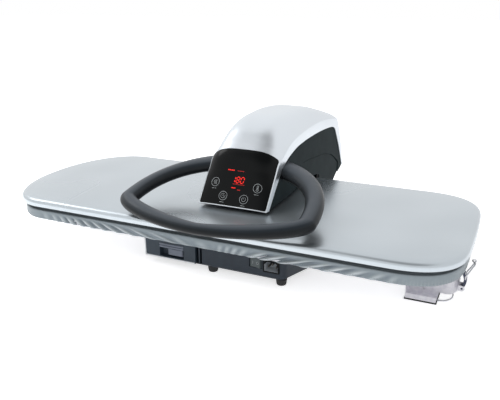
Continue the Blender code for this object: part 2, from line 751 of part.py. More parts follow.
def build_base(plastic, rubber):
    tub = prism(base_outline(0.0), "Z", FOOT_HEIGHT, BASE_TOP)
    housing = add_piece("base_housing", tub, plastic, "base")
    soften(housing, BASE_EDGE, 1)
    top = BASE_TOP + CUT_OVERRUN
    inner = base_outline(BASE_WALL)
    room = [(max(x, DIVIDER_X), y) for x, y in inner]
    rear_low = (BASE_LEFT_X + BASE_WALL, BAY_BACK_Y + BASE_WALL)
    rear_high = (DIVIDER_X + CUT_OVERRUN, BASE_BACK_INNER_Y)
    bay_low = (BASE_LEFT_X + BASE_WALL, BASE_FRONT_Y - CUT_OVERRUN, FLOOR_TOP)
    bay_high = (BAY_RIGHT_X, BAY_BACK_Y, top)
    switch_half = (SWITCH_WIDTH / 2 + ROCKER_GAP + SWITCH_WALL + FIT_GAP,
                   SWITCH_HEIGHT / 2 + ROCKER_GAP + SWITCH_WALL + FIT_GAP)
    inlet_half = (INLET_WIDTH / 2 + INLET_WALL + FIT_GAP, INLET_HEIGHT / 2 + INLET_WALL + FIT_GAP)
    front_wall = (BASE_FRONT_Y - CUT_OVERRUN, BASE_FRONT_Y + BASE_WALL + CUT_OVERRUN / 2)
    valve_x = tank_centre_x()
    valve_z = valve_height()
    cut(housing, [
        prism(room, "Z", FLOOR_TOP, top),
        box((*rear_low, FLOOR_TOP), (*rear_high, top)),
        box(bay_low, bay_high),
        box((SWITCH_X - switch_half[0], front_wall[0], SWITCH_Z - switch_half[1]),
            (SWITCH_X + switch_half[0], front_wall[1], SWITCH_Z + switch_half[1])),
        box((INLET_X - inlet_half[0], front_wall[0], INLET_Z - inlet_half[1]),
            (INLET_X + inlet_half[0], front_wall[1], INLET_Z + inlet_half[1])),
        rod((valve_x, BAY_BACK_Y - CUT_OVERRUN, valve_z),
            (valve_x, BAY_BACK_Y + BASE_WALL + CUT_OVERRUN, valve_z), VALVE_RADIUS + FIT_GAP),
    ], "base")
    profile = [(FOOT_RADIUS - FOOT_TAPER - FOOT_EDGE, 0.0), (FOOT_RADIUS - FOOT_TAPER, FOOT_EDGE),
               (FOOT_RADIUS, FOOT_HEIGHT - FIT_GAP)]
    bore = [(FOOT_BORE_RADIUS, -CUT_OVERRUN), (FOOT_BORE_RADIUS, FOOT_BORE_DEPTH)]
    places = {"front_left": (FRONT_FOOT_XS[0], FRONT_FOOT_Y), "front_right": (FRONT_FOOT_XS[1], FRONT_FOOT_Y),
              "rear_left": (REAR_FOOT_XS[0], REAR_FOOT_Y), "rear_right": (REAR_FOOT_XS[1], REAR_FOOT_Y)}
    for name, place in places.items():
        foot = add_piece(f"foot_{name}", turned(profile, place), rubber, "base")
        cut(foot, [turned(bore, place, ROUND_STEPS // 2)], "base")


def build_column(plastic, steel):
    drum = (HINGE_Y, HINGE_Z)
    profile = [(BASE_BACK_Y + FIT_GAP, FOOT_HEIGHT), (COLUMN_BACK_Y, FOOT_HEIGHT)]
    profile += arc(drum, COLUMN_DRUM, -50, 150, 14)
    profile += [(COLUMN_FRONT_Y + COLUMN_CHEEK / 2, COLUMN_SLOT_FLOOR - CUT_OVERRUN),
                (COLUMN_FRONT_Y, COLUMN_SLOT_FLOOR - 2 * CUT_OVERRUN),
                (COLUMN_FRONT_Y, COLUMN_SHELF_Z), (BASE_BACK_Y + FIT_GAP, COLUMN_SHELF_Z)]
    low, high = ARM_X - COLUMN_HALF, ARM_X + COLUMN_HALF
    column = add_piece("hinge_column", prism(profile, "X", low, high), plastic, "base")
    slot_low = (low + COLUMN_CHEEK, HINGE_Y - COLUMN_DRUM + COLUMN_CHEEK / 2, COLUMN_SLOT_FLOOR)
    slot_high = (high - COLUMN_CHEEK, HINGE_Y + COLUMN_DRUM + CUT_OVERRUN,
                 HINGE_Z + COLUMN_DRUM + CUT_OVERRUN)
    bore = rod((low - CUT_OVERRUN, *drum), (high + CUT_OVERRUN, *drum), SHAFT_RADIUS + SHAFT_GAP)
    cut(column, [box(slot_low, slot_high), bore], "base")
    slot_quarter = (COLUMN_HALF - COLUMN_CHEEK) / 2
    count = round(SPRING_TURNS * SPRING_STEPS)
    width = SPRING_PITCH * SPRING_TURNS
    for name, side in (("left", -1), ("right", 1)):
        start_x = ARM_X + side * slot_quarter - width / 2
        wall_y = slot_low[1] + FIT_GAP
        floor_z = COLUMN_SLOT_FLOOR + FIT_GAP
        coil = []
        for step in range(count + 1):
            angle = 2 * math.pi * step / SPRING_STEPS - math.pi / 2
            coil.append((start_x + width * step / count, HINGE_Y + SPRING_RADIUS * math.cos(angle),
                         HINGE_Z + SPRING_RADIUS * math.sin(angle)))
        first, last = coil[0], coil[-1]
        front_tang = [(first[0], wall_y, first[2]), (first[0], (wall_y + first[1]) / 2, first[2])]
        foot_tang = [(last[0], last[1], (last[2] + floor_z) / 2), (last[0], last[1], floor_z)]
        add_piece(f"lift_spring_{name}", tube(front_tang + coil + foot_tang, SPRING_WIRE), steel, "base")
    gap = spring_gap(coil)
    print(f"lift spring: least gap of the wire to itself {gap * 1000:.2f} mm")


def spring_gap(points):
    """The least distance between turns of the spring, less the wire."""
    least = SPRING_PITCH * SPRING_TURNS
    for index, point in enumerate(points):
        for other in points[index + SPRING_STEPS // 2:]:
            least = min(least, (Vector(point) - Vector(other)).length)
    return least - 2 * SPRING_WIRE


def build_board(steel, felt, fabric):
    inner = PAN_INSET + PAN_SHEET
    rim = PAN_UNDER - PAN_RIM_DROP
    pan = board_rings([(inner, PAN_UNDER), (inner, rim), (PAN_INSET, rim), (PAN_INSET, PAN_TOP - PAN_EDGE),
                       (PAN_INSET + PAN_EDGE, PAN_TOP)], shortfall=BOARD_SHORTFALL)
    add_piece("board_pan", loft(pan), steel, "base")
    pad = board_rings([(PAD_INSET, PAD_UNDER), (PAD_INSET, PAD_TOP - PAD_CROWN - PAD_EDGE),
                       (PAD_INSET + PAD_EDGE / 3, PAD_TOP - PAD_CROWN - PAD_EDGE / 3),
                       (PAD_INSET + PAD_EDGE, PAD_TOP - PAD_CROWN / 2),
                       (PAD_INSET + 3 * PAD_EDGE, PAD_TOP)], shortfall=BOARD_SHORTFALL)
    add_piece("board_pad", loft(pad), felt, "base")
    build_cover(fabric)


def cover_fold(x, y):
    """How far the skirt's cloth stands in and out, which dies away on the straight back."""
    angle = math.atan2(y, x)
    along = x if y < 0 else -x
    wave = math.sin(2 * math.pi * along / FOLD_SPACING + 2.0 * math.sin(3 * angle))
    gather = math.sin(10 * math.pi * y / FOLD_SPACING)
    ends = abs(x) > HALF_LENGTH - CORNER_RADIUS
    return gather if ends else wave


def build_cover(fabric):
    plan = {"side_steps": COVER_STEPS_PER_SIDE, "shortfall": BOARD_SHORTFALL}
    t = COVER_THICKNESS
    base_inset = COVER_INSET
    crown = PAD_CROWN
    edge = PAD_EDGE
    foot = SKIRT_FOOT
    hem = HEM_THICKNESS

    def ring(inset, z, fold=0.0):
        points = board_outline(inset, **plan)
        outer = []
        for x, y in points:
            shift = fold * FOLD_DEPTH * (0.5 + 0.5 * cover_fold(x, y))
            length = math.hypot(x, y)
            outer.append((x + shift * x / length, y + shift * y / length, z))
        return outer

    under = PAN_UNDER - PAN_RIM_DROP - FIT_GAP
    rings = [
        ring(PAD_INSET + 3 * edge, COVER_UNDER),
        ring(PAD_INSET + edge, COVER_UNDER - crown / 2 + FIT_GAP / 2),
        ring(PAD_INSET + edge / 3 - t / 3, COVER_UNDER - crown - edge / 3 + t / 5),
        ring(base_inset + t, COVER_UNDER - crown - edge - t),
        ring(base_inset + t, under),
        ring(base_inset + t + HEM_TURN, under),
        ring(base_inset + t + HEM_TURN, under - hem),
        ring(base_inset + t, under - hem, 0.6),
        ring(base_inset + t / 2, foot + hem / 2, 1.0),
        ring(base_inset, foot + hem, 1.0),
        ring(base_inset, (foot + COVER_TOP) / 2, 0.7),
        ring(base_inset, COVER_TOP - crown - edge - t),
        ring(base_inset + t / 2, COVER_TOP - crown - edge / 2),
        ring(PAD_INSET + edge / 3, COVER_TOP - crown - edge / 4),
        ring(PAD_INSET + edge, COVER_TOP - crown / 2),
        ring(PAD_INSET + 3 * edge, COVER_TOP),
    ]
    add_piece("board_cover", loft(rings), fabric, "base")


def build_plate(silver, aluminium, steel, wool):
    t = SHELL_SHEET
    outside = [(SHELL_RIM * inward, SHELL_FOOT + SHELL_RIM * up + SHELL_CROWN * crown)
               for inward, up, crown in SHELL_RIM_shares]
    outside.append((SHELL_CROWN_INSET, SHELL_TOP))
    inside = [(SHELL_CROWN_INSET, SHELL_TOP - t)]
    inside += [(SHELL_RIM * inward, SHELL_FOOT + SHELL_RIM * up + SHELL_CROWN * crown - t)
               for inward, up, crown in SHELL_INNER_shares]
    inside += [(t, SHELL_FOOT + SHELL_RIM * 0.4), (t, SHELL_FOOT)]
    add_piece("plate_shell", loft(board_rings(inside + outside)), silver, "plate")
    lip = SHELL_SHEET + FIT_GAP
    sole = board_rings([(SOLE_INSET + SOLE_EDGE, SOLE_UNDER), (SOLE_INSET, SOLE_UNDER + SOLE_EDGE),
                        (lip, SHELL_FOOT), (lip, SHELL_FOOT + SOLE_LIP), (SOLE_INSET, SHELL_FOOT + SOLE_LIP),
                        (SOLE_INSET + SOLE_EDGE, SOLE_TOP)])
    item = add_piece("sole_plate", loft(sole), aluminium, "plate")
    holes = []
    for row in range(STEAM_ROWS):
        for column in range(STEAM_COLUMNS):
            x = STEAM_COLUMN_PITCH * (column - (STEAM_COLUMNS - 1) / 2 + 0.5 * (row % 2) - 0.25)
            y = STEAM_ROW_PITCH * (row - (STEAM_ROWS - 1) / 2)
            holes.append(rod((x, y, SOLE_UNDER - CUT_OVERRUN), (x, y, SOLE_TOP + CUT_OVERRUN),
                             STEAM_HOLE_RADIUS, STEAM_HOLE_SIDES))
    cut(item, [combined(holes)], "plate")
    build_element(steel)
    seat = SOLE_TOP + FIT_GAP
    half_length, half_width = STEAM_BOX_LENGTH / 2, STEAM_BOX_WIDTH / 2
    block = box((-half_length, -half_width, seat), (half_length, half_width, STEAM_TOP))
    chamber = add_piece("steam_chamber", block, aluminium, "plate")
    soften(chamber, STEAM_BOX_HEIGHT / 3, 1)
    wall = STEAM_BOX_WALL
    cut(chamber, [box((wall * 3 - half_length, wall * 3 - half_width, seat - CUT_OVERRUN),
                      (half_length - wall * 3, half_width - wall * 3, STEAM_TOP - wall))], "plate")
    thermostat = turned([(THERMOSTAT_RADIUS, seat), (THERMOSTAT_RADIUS, seat + THERMOSTAT_HEIGHT * 0.7),
                         (THERMOSTAT_RADIUS * 0.6, seat + THERMOSTAT_HEIGHT * 0.7),
                         (THERMOSTAT_RADIUS * 0.6, seat + THERMOSTAT_HEIGHT)], (THERMOSTAT_X, 0))
    add_piece("thermostat", thermostat, steel, "plate")
    mat_under = SOLE_TOP + 2 * FIT_GAP + 2 * ELEMENT_RADIUS
    mat = board_rings([(MAT_INSET, mat_under), (MAT_INSET, mat_under + MAT_THICKNESS)])
    add_piece("insulation_mat", loft(mat), wool, "plate")
    build_bracket(steel)


def combined(shapes):
    """Put shapes that don't touch into one."""
    whole = bmesh.new()
    for shape in shapes:
        mesh = bpy.data.meshes.new("part_of_pattern")
        shape.to_mesh(mesh)
        shape.free()
        whole.from_mesh(mesh)
        bpy.data.meshes.remove(mesh)
    return whole


def build_element(steel):
    """The tubular element: a loop inside the sole's edge whose two ends rise at the back."""
    z = SOLE_TOP + FIT_GAP + ELEMENT_RADIUS
    outline = board_outline(ELEMENT_INSET, corner_steps=6, side_steps=3, nose_steps=8)
    start_y = HALF_WIDTH - ELEMENT_INSET
    start = (ARM_X + ELEMENT_GAP_HALF, start_y)
    end = (ARM_X - ELEMENT_GAP_HALF, start_y)
    ordered = sorted_from(outline, ARM_X)
    points = [(start[0], start_y - ELEMENT_TAIL, z), (start[0], start_y - ELEMENT_TAIL / 2, z)]
    points += [(start[0] + ELEMENT_GAP_HALF / 3, start_y - ELEMENT_RADIUS, z)]
    points += [(x, y, z) for x, y in ordered]
    points += [(end[0] - ELEMENT_GAP_HALF / 3, start_y - ELEMENT_RADIUS, z)]
    points += [(end[0], start_y - ELEMENT_TAIL / 2, z), (end[0], start_y - ELEMENT_TAIL, z)]
    add_piece("heating_element", tube(points, ELEMENT_RADIUS, ELEMENT_SIDES), steel, "plate")


def sorted_from(outline, x_middle):
    """The outline clockwise from just right of a place on its back edge to just left of it."""
    back = [index for index, point in enumerate(outline) if point[1] > 0]
    nearest = min((i for i in back if outline[i][0] > x_middle + ELEMENT_GAP_HALF),
                  key=lambda i: (outline[i][0] - x_middle, -outline[i][1]))
    turned_round = outline[nearest::-1] + outline[:nearest:-1]
    return [point for point in turned_round
            if not (point[1] > 0 and abs(point[0] - x_middle) < ELEMENT_GAP_HALF * 1.5)]


def build_bracket(steel):
    seat = SHELL_TOP + FIT_GAP
    low_x, high_x = ARM_X - BRACKET_HALF, ARM_X + BRACKET_HALF
    sheet = BRACKET_SHEET
    half = BRACKET_LENGTH / 2
    ear = [(PIVOT_Y - half, seat), (PIVOT_Y + half, seat), (PIVOT_Y + half, seat + sheet)]
    ear += arc((PIVOT_Y, PIVOT_Z), BRACKET_EAR_RADIUS, 0, 180, 8)
    ear += [(PIVOT_Y - half, seat + sheet)]
    item = add_piece("plate_bracket", prism(ear, "X", low_x, high_x), steel, "plate")
    inner_low = (low_x + sheet, PIVOT_Y - half - CUT_OVERRUN, seat + sheet)
    inner_high = (high_x - sheet, PIVOT_Y + half + CUT_OVERRUN, PIVOT_Z + BRACKET_EAR_RADIUS + CUT_OVERRUN)
    bore = rod((low_x - CUT_OVERRUN, PIVOT_Y, PIVOT_Z), (high_x + CUT_OVERRUN, PIVOT_Y, PIVOT_Z),
               PIVOT_RADIUS + SHAFT_GAP)
    cut(item, [box(inner_low, inner_high), bore], "plate")


def cover_section(index):
    """One closed section of the arm cover: outer line from left band to right, inner line back."""
    band = cover_point(BAND_shares, index)
    crease = cover_point(CREASE_shares, index)
    normal = crease_normal(index)
    wall = COVER_WALL
    recessed = PANEL_START <= index <= PANEL_END
    rim = 1 - PANEL_TRIM / ARM_HALF
    sunk = PANEL_RECESS if recessed else 0.0
    across = both_ways([rim * share for share in ACROSS_shares])
    outer = [Vector((ARM_X - ARM_HALF, band.y, band.z)), Vector((ARM_X - ARM_HALF, crease.y, crease.z)),
             cover_surface(index, -rim, 0.0)]
    outer += [cover_surface(index, share, sunk) for share in across]
    outer += [cover_surface(index, rim, 0.0), Vector((ARM_X + ARM_HALF, crease.y, crease.z)),
              Vector((ARM_X + ARM_HALF, band.y, band.z))]
    inner_rim = 1 - wall / ARM_HALF
    inner_side = crease - normal * (wall + sunk)
    inner = [Vector((ARM_X + ARM_HALF - wall, band.y, band.z)),
             Vector((ARM_X + ARM_HALF - wall, inner_side.y, inner_side.z))]
    for share in reversed(across):
        inner.append(cover_surface(index, share * inner_rim * 0.985, wall + sunk))
    inner += [Vector((ARM_X - ARM_HALF + wall, inner_side.y, inner_side.z)),
              Vector((ARM_X - ARM_HALF + wall, band.y, band.z))]
    if sunk == 0.0:
        outer[2] = outer[2].lerp(outer[1], 0.3)
        outer[-3] = outer[-3].lerp(outer[-2], 0.3)
    return outer + inner


def build_arm_cover(silver):
    rings = [cover_section(index) for index in range(len(CREASE_shares))]
    item = add_piece("arm_cover", split_short(loft(rings)), silver, "head")
    cut(item, [loft(handle_rings(HANDLE_HOLE_GAP))], "head")


def build_sides(plastic):
    band = side_points(BAND_shares)
    rise = (SIDE_FOOT_Z - band[0][1]) / (band[2][1] - band[0][1])
    front = (band[0][0] + (band[2][0] - band[0][0]) * rise + 3 * FIT_GAP, SIDE_FOOT_Z)
    upper = []
    for index, (y, z) in enumerate(band):
        normal = crease_normal(index)
        upper.append((y - normal.y * FIT_GAP * 2, z - normal.z * FIT_GAP * 2))
    outline = [front] + [point for point in upper if point[1] > SIDE_FOOT_Z or point[0] > HINGE_Y]
    outline += side_points(HEEL_shares)
    parting = side_points(PARTING_shares)
    deep = HINGE_Z - COLUMN_DRUM * 2
    lower = parting + [(parting[-1][0], deep), (parting[0][0], deep)]
    for name, side in (("left", -1), ("right", 1)):
        outer = ARM_X + side * (ARM_HALF - SIDE_INSET)
        inner = outer - side * SIDE_WALL
        item = add_piece(f"arm_side_{name}", prism(outline, "X", min(outer, inner), max(outer, inner)),
                         plastic, "head")
        boss_end = ARM_X + side * (FRAME_HALF + FIT_GAP)
        bosses = [rod((boss_end, *place), (inner + side * SIDE_WALL / 2, *place), BOSS_RADIUS, 12)
                  for place in side_points(BOSS_shares)]
        join(item, bosses, "head")
        step = outer - side * SIDE_STEP
        beyond = outer + side * CUT_OVERRUN
        cut(item, [prism(lower, "X", min(step, beyond), max(step, beyond)),
                   loft(handle_rings(HANDLE_HOLE_GAP))], "head")


def build_belly(plastic):
    low_z = SIDE_FOOT_Z
    half = ARM_HALF - SIDE_INSET - SIDE_WALL - FIT_GAP
    front = cover_point(BAND_shares, 0)
    item = add_piece("arm_belly", box((ARM_X - half, front.y + COVER_WALL, low_z),
                                      (ARM_X + half, BELLY_BACK_Y, low_z + BELLY_THICKNESS)), plastic, "head")
    reach = BRACKET_LENGTH / 2 + BELLY_LIFT
    width = BRACKET_HALF + BELLY_LIFT
    cut(item, [box((ARM_X - width, PIVOT_Y - reach, low_z - CUT_OVERRUN),
                   (ARM_X + width, PIVOT_Y + reach, low_z + BELLY_THICKNESS + CUT_OVERRUN))], "head")


def build_frame(steel):
    top = side_points(FRAME_TOP_shares)
    hinge_round = arc((HINGE_Y, HINGE_Z), CLIP_RADIUS + FRAME_SHEET * 2, 60, -120, 8)
    knee = (HALF_WIDTH + FRAME_SHEET, SIDE_FOOT_Z + BELLY_THICKNESS + 2 * FIT_GAP)
    pivot_round = arc((PIVOT_Y, PIVOT_Z), PIVOT_RADIUS + FRAME_SHEET * 2, -60, -180, 5)
    nose_foot = (top[0][0], PIVOT_Z - PIVOT_RADIUS)
    outline = top + hinge_round + [knee] + pivot_round + [nose_foot]
    item = add_piece("arm_frame", prism(outline, "X", ARM_X - FRAME_HALF, ARM_X + FRAME_HALF), steel, "head")
    web = COVER_RISE * FRAME_WEB_share
    under = [(y, z - web) for y, z in top]
    deep = COVER_RISE * 2
    inner = [(top[0][0] - COVER_RUN, under[0][1])] + under
    inner += [(under[-1][0] + COVER_RUN, under[-1][1]), (under[-1][0] + COVER_RUN, -deep),
              (top[0][0] - COVER_RUN, -deep)]
    half = FRAME_HALF - FRAME_SHEET
    ends = (ARM_X - FRAME_HALF - CUT_OVERRUN, ARM_X + FRAME_HALF + CUT_OVERRUN)
    hinge, pivot = (HINGE_Y, HINGE_Z), (PIVOT_Y, PIVOT_Z)
    cut(item, [prism(inner, "X", ARM_X - half, ARM_X + half),
               rod((ends[0], *hinge), (ends[1], *hinge), SHAFT_RADIUS + SHAFT_GAP),
               rod((ends[0], *pivot), (ends[1], *pivot), PIVOT_RADIUS + SHAFT_GAP)], "head")
    shaft_half = FRAME_HALF + CLIP_THICKNESS + 2 * FIT_GAP
    shaft = rod((ARM_X - shaft_half, *hinge), (ARM_X + shaft_half, *hinge), SHAFT_RADIUS)
    add_piece("hinge_shaft", shaft, steel, "head")
    for name, side in (("left", -1), ("right", 1)):
        start = ARM_X + side * (FRAME_HALF + FIT_GAP)
        end = start + side * CLIP_THICKNESS
        disc = rod((start, *hinge), (end, *hinge), CLIP_RADIUS)
        clip = add_piece(f"shaft_clip_{name}", disc, steel, "head")
        near, far = min(start, end) - CUT_OVERRUN, max(start, end) + CUT_OVERRUN
        cut(clip, [rod((near, *hinge), (far, *hinge), SHAFT_RADIUS + SHAFT_GAP),
                   box((near, HINGE_Y - CLIP_GROOVE, HINGE_Z - 2 * CLIP_RADIUS),
                       (far, HINGE_Y + CLIP_GROOVE, HINGE_Z))], "head")
    pin_half = FRAME_HALF + FRAME_SHEET / 2
    pin = rod((ARM_X - pin_half, *pivot), (ARM_X + pin_half, *pivot), PIVOT_RADIUS)
    add_piece("pivot_pin", pin, steel, "head")


def panel_stations():
    """The glass's stations, each with a shift along the crease that leaves a gap at its two ends."""
    inner = [(index, 0.0) for index in range(PANEL_START + 1, PANEL_END)]
    return [(PANEL_START, FIT_GAP), *inner, (PANEL_END, -FIT_GAP)]


def panel_point(index, shift, across, depth):
    return cover_surface(index, across, depth) + crease_direction(index) * shift


def build_panel(glass):
    rim = 1 - PANEL_TRIM / ARM_HALF
    half = [rim * share for share in ACROSS_shares]
    half[-1] -= FIT_GAP / ARM_HALF
    across = both_ways(half)
    floor = PANEL_RECESS - PANEL_SEAT_GAP
    rings = []
    for index, shift in panel_stations():
        outer = [panel_point(index, shift, share, floor - PANEL_THICKNESS) for share in across]
        inner = [panel_point(index, shift, share, floor) for share in reversed(across)]
        rings.append(outer + inner)
    add_piece("control_panel", split_short(loft(rings)), glass, "head")


def build_control_board(board):
    """The circuit board stands on posts behind the cover's panel seat."""
    station = (PANEL_START + PANEL_END) // 2
    middle = (cover_surface(station, 0.0, 0.0) + cover_surface(station + 1, 0.0, 0.0)) / 2
    normal = (crease_normal(station) + crease_normal(station + 1)).normalized()
    along = Vector((0, normal.z, -normal.y))
    depth = PANEL_RECESS + COVER_WALL + COVER_CROWN * CROWN_shares[PANEL_END] + CONTROL_DEPTH
    centre = middle - normal * depth
    half_x, half_a = CONTROL_HALF, CONTROL_HEIGHT / 2
    corners = [(-half_a, 0.0), (half_a, 0.0), (half_a, BOARD_PCB_THICKNESS), (-half_a, BOARD_PCB_THICKNESS)]

    def slab(outline, low, high):
        rings = []
        for x in (low, high):
            rings.append([centre + along * a + normal * b + Vector((x, 0, 0)) for a, b in outline])
        return loft(rings)

    item = add_piece("control_board", slab(corners, -half_x, half_x), board, "head")
    chip = [(-half_a / 3, BOARD_PCB_THICKNESS / 2), (half_a / 3, BOARD_PCB_THICKNESS / 2),
            (half_a / 3, CONTROL_DEPTH / 2), (-half_a / 3, CONTROL_DEPTH / 2)]
    posts = []
    for index in (station, station + 1):
        for across in (-POST_SPREAD_share, POST_SPREAD_share):
            top = cover_surface(index, across, PANEL_RECESS + COVER_WALL + 3 * FIT_GAP)
            foot = (top - centre).dot(normal) - BOARD_PCB_THICKNESS / 2
            posts.append(rod(top, top - normal * foot, POST_RADIUS, 8))
    join(item, [slab(chip, -half_x / 3, half_x / 3)] + posts, "head")


def build_handle(rubber):
    item = add_piece("handle", loft(handle_rings()), rubber, "head")
    half = FRAME_HALF + FIT_GAP
    tall = COVER_RISE * 2
    cut(item, [box((ARM_X - half, HANDLE_CENTRE_Y, -tall), (ARM_X + half, HINGE_Y, tall * 2))], "head")


def build_switch(plastic, rocker_plastic):
    front = BASE_FRONT_Y
    half_w = SWITCH_WIDTH / 2 + ROCKER_GAP
    half_h = SWITCH_HEIGHT / 2 + ROCKER_GAP
    wall = SWITCH_WALL
    edge = wall + SWITCH_FRAME_EDGE
    flange_back = front - FIT_GAP

    def block(grow, low_y, high_y):
        return box((SWITCH_X - half_w - grow, low_y, SWITCH_Z - half_h - grow),
                   (SWITCH_X + half_w + grow, high_y, SWITCH_Z + half_h + grow))

    def axle(reach, radius):
        return rod((SWITCH_X, axis_y, SWITCH_Z - half_h - reach),
                   (SWITCH_X, axis_y, SWITCH_Z + half_h + reach), radius, 12)

    axis_y = front + ROCKER_AXIS_DEPTH
    item = add_piece("switch_frame", block(edge, flange_back - SWITCH_FLANGE, flange_back), plastic, "base")
    join(item, [block(wall, flange_back - SWITCH_FLANGE / 2, front + SWITCH_DEPTH)], "base")
    hole = block(0.0, flange_back - SWITCH_FLANGE - CUT_OVERRUN, front + SWITCH_DEPTH - wall)
    cut(item, [hole, axle(wall / 2, ROCKER_PIN_RADIUS + FIT_GAP)], "base")
    turn = Matrix.Rotation(-SWITCH_TILT, 2)
    half = SWITCH_WIDTH / 2
    rise = ROCKER_AXIS_DEPTH + ROCKER_PROUD
    reach = math.sqrt(half ** 2 - rise ** 2)
    dip = reach * math.tan(SWITCH_TILT)
    shape = [(-reach, -rise), (0, dip - rise), (reach, -rise), (half, 0.0), (half * 0.9, ROCKER_DEPTH / 2),
             (half / 3, ROCKER_DEPTH), (-half / 3, ROCKER_DEPTH), (-half * 0.9, ROCKER_DEPTH / 2),
             (-half, 0.0)]
    shape = [turn @ Vector(point) for point in shape]
    outline = [(SWITCH_X + point.x, axis_y + point.y) for point in shape]
    half_z = SWITCH_HEIGHT / 2
    button = prism(outline, "Z", SWITCH_Z - half_z, SWITCH_Z + half_z)
    rocker = add_piece("power_rocker", button, rocker_plastic, "rocker")
    join(rocker, [axle(wall / 3, ROCKER_PIN_RADIUS)], "rocker")


def inlet_outline():
    """The coupler's opening: a rectangle with its two upper corners cut off."""
    half_w = INLET_WIDTH / 2
    half_h = INLET_HEIGHT / 2
    corner = INLET_CHAMFER
    points = [(-half_w, -half_h), (half_w, -half_h), (half_w, half_h - corner), (half_w - corner, half_h),
              (corner - half_w, half_h), (-half_w, half_h - corner)]
    return [(INLET_X + x, INLET_Z + z) for x, z in points]


def build_inlet(plastic, brass):
    front = BASE_FRONT_Y
    face = front - FIT_GAP
    wall = INLET_WALL
    edge = wall + INLET_FLANGE_EDGE
    half_w, half_h = INLET_WIDTH / 2, INLET_HEIGHT / 2
    flange = box((INLET_X - half_w - edge, face - INLET_FLANGE, INLET_Z - half_h - edge),
                 (INLET_X + half_w + edge, face, INLET_Z + half_h + edge))
    item = add_piece("inlet_socket", flange, plastic, "base")
    floor = front + INLET_DEPTH
    sleeve = box((INLET_X - half_w - wall, face - INLET_FLANGE / 2, INLET_Z - half_h - wall),
                 (INLET_X + half_w + wall, floor + INLET_BACK, INLET_Z + half_h + wall))
    join(item, [sleeve], "base")
    cavity = prism(inlet_outline(), "Y", face - INLET_FLANGE - CUT_OVERRUN, floor)
    rise = INLET_EARTH_RISE / 2
    places = {"live": (-INLET_PIN_SPREAD, -rise), "neutral": (INLET_PIN_SPREAD, -rise), "earth": (0.0, rise)}

    def blade(place, grow, low_y, high_y):
        x, z = INLET_X + place[0], INLET_Z + place[1]
        half_x, half_z = INLET_PIN_WIDTH / 2 + grow, INLET_PIN_HEIGHT / 2 + grow
        return box((x - half_x, low_y, z - half_z), (x + half_x, high_y, z + half_z))

    back = floor + INLET_BACK
    slots = [blade(place, FIT_GAP, floor - CUT_OVERRUN, back + CUT_OVERRUN) for place in places.values()]
    cut(item, [cavity] + slots, "base")
    for name, place in places.items():
        shape = blade(place, 0.0, floor - INLET_PIN_LENGTH, back + INLET_TAIL)
        pin = add_piece(f"inlet_pin_{name}", shape, brass, "base")
        soften(pin, INLET_PIN_WIDTH / 5, 1)


def tank_centre_x():
    return (BASE_LEFT_X + BASE_WALL + TANK_SIDE_GAP + TANK_FRONT_RIGHT_X) / 2


def build_tank(dark, clear, rubber):
    outer_y = BASE_FRONT_Y - TANK_FRONT_PROUD
    inner_y = outer_y + TANK_FRONT_DEPTH
    low_z = FLOOR_TOP + TANK_FRONT_FLOOR - BASE_WALL
    high_z = low_z + TANK_FRONT_HEIGHT
    lift = FLOOR_TOP + FIT_GAP
    front = box((TANK_FRONT_LEFT_X, outer_y, low_z), (TANK_FRONT_RIGHT_X, BASE_FRONT_Y - FIT_GAP, high_z))
    item = add_piece("tank_front", front, dark, "tank")
    tongue_left = BASE_LEFT_X + BASE_WALL + TANK_SIDE_GAP
    tongue = box((tongue_left, outer_y + TANK_FRONT_PROUD / 2, lift),
                 (TANK_FRONT_RIGHT_X - FIT_GAP, inner_y, high_z - FIT_GAP))
    join(item, [tongue], "tank")
    grip_low = (GRIP_LEFT_X, outer_y - CUT_OVERRUN, lift + GRIP_FLOOR)
    grip_high = (GRIP_LEFT_X + GRIP_WIDTH, outer_y + GRIP_DEPTH, lift + GRIP_FLOOR + GRIP_HEIGHT)
    grooves = []
    for number in range(GRIP_RIDGES):
        z = grip_high[2] + GRIP_RIDGE_PITCH * (number + 0.6)
        grooves.append(box((grip_low[0], grip_low[1], z),
                           (grip_high[0], outer_y + GRIP_RIDGE, z + GRIP_RIDGE_PITCH - GRIP_RIDGE)))
    cut(item, [box(grip_low, grip_high)] + grooves, "tank")
    start = inner_y + FIT_GAP
    end = BAY_BACK_Y - VALVE_LENGTH
    left = tongue_left
    right = TANK_FRONT_RIGHT_X
    top = lift + TANK_HEIGHT
    body = add_piece("tank_body", box((left, start, lift), (right, end, top)), clear, "tank")
    soften(body, TANK_FRONT_CORNER / 2, 1)
    wall = TANK_WALL
    valve_x, valve_z = tank_centre_x(), valve_height()
    port_start, port_end = end - 2 * wall, end + CUT_OVERRUN
    port = rod((valve_x, port_start, valve_z), (valve_x, port_end, valve_z), VALVE_NOSE + FIT_GAP)
    room = box((left + wall, start + wall, lift + wall), (right - wall, end - wall, top + CUT_OVERRUN))
    cut(body, [room, port], "tank")
    under = top + FIT_GAP
    cap = box((left, start + TANK_MOUTH, under), (right, end, under + TANK_LID_THICKNESS))
    lid = add_piece("tank_lid", cap, dark, "tank")
    soften(lid, TANK_LID_THICKNESS / 3, 1)
    valve_start = end + FIT_GAP
    seat = rod((valve_x, valve_start, valve_z), (valve_x, valve_back(), valve_z), VALVE_RADIUS)
    valve = add_piece("valve_seat", seat, rubber, "base")
    nose = rod((valve_x, end - wall, valve_z), (valve_x, valve_start + VALVE_LENGTH / 2, valve_z), VALVE_NOSE)
    join(valve, [nose], "base")


def valve_height():
    return FLOOR_TOP + VALVE_RADIUS + TANK_WALL * 2


def valve_back():
    return BAY_BACK_Y + BASE_WALL + VALVE_LENGTH


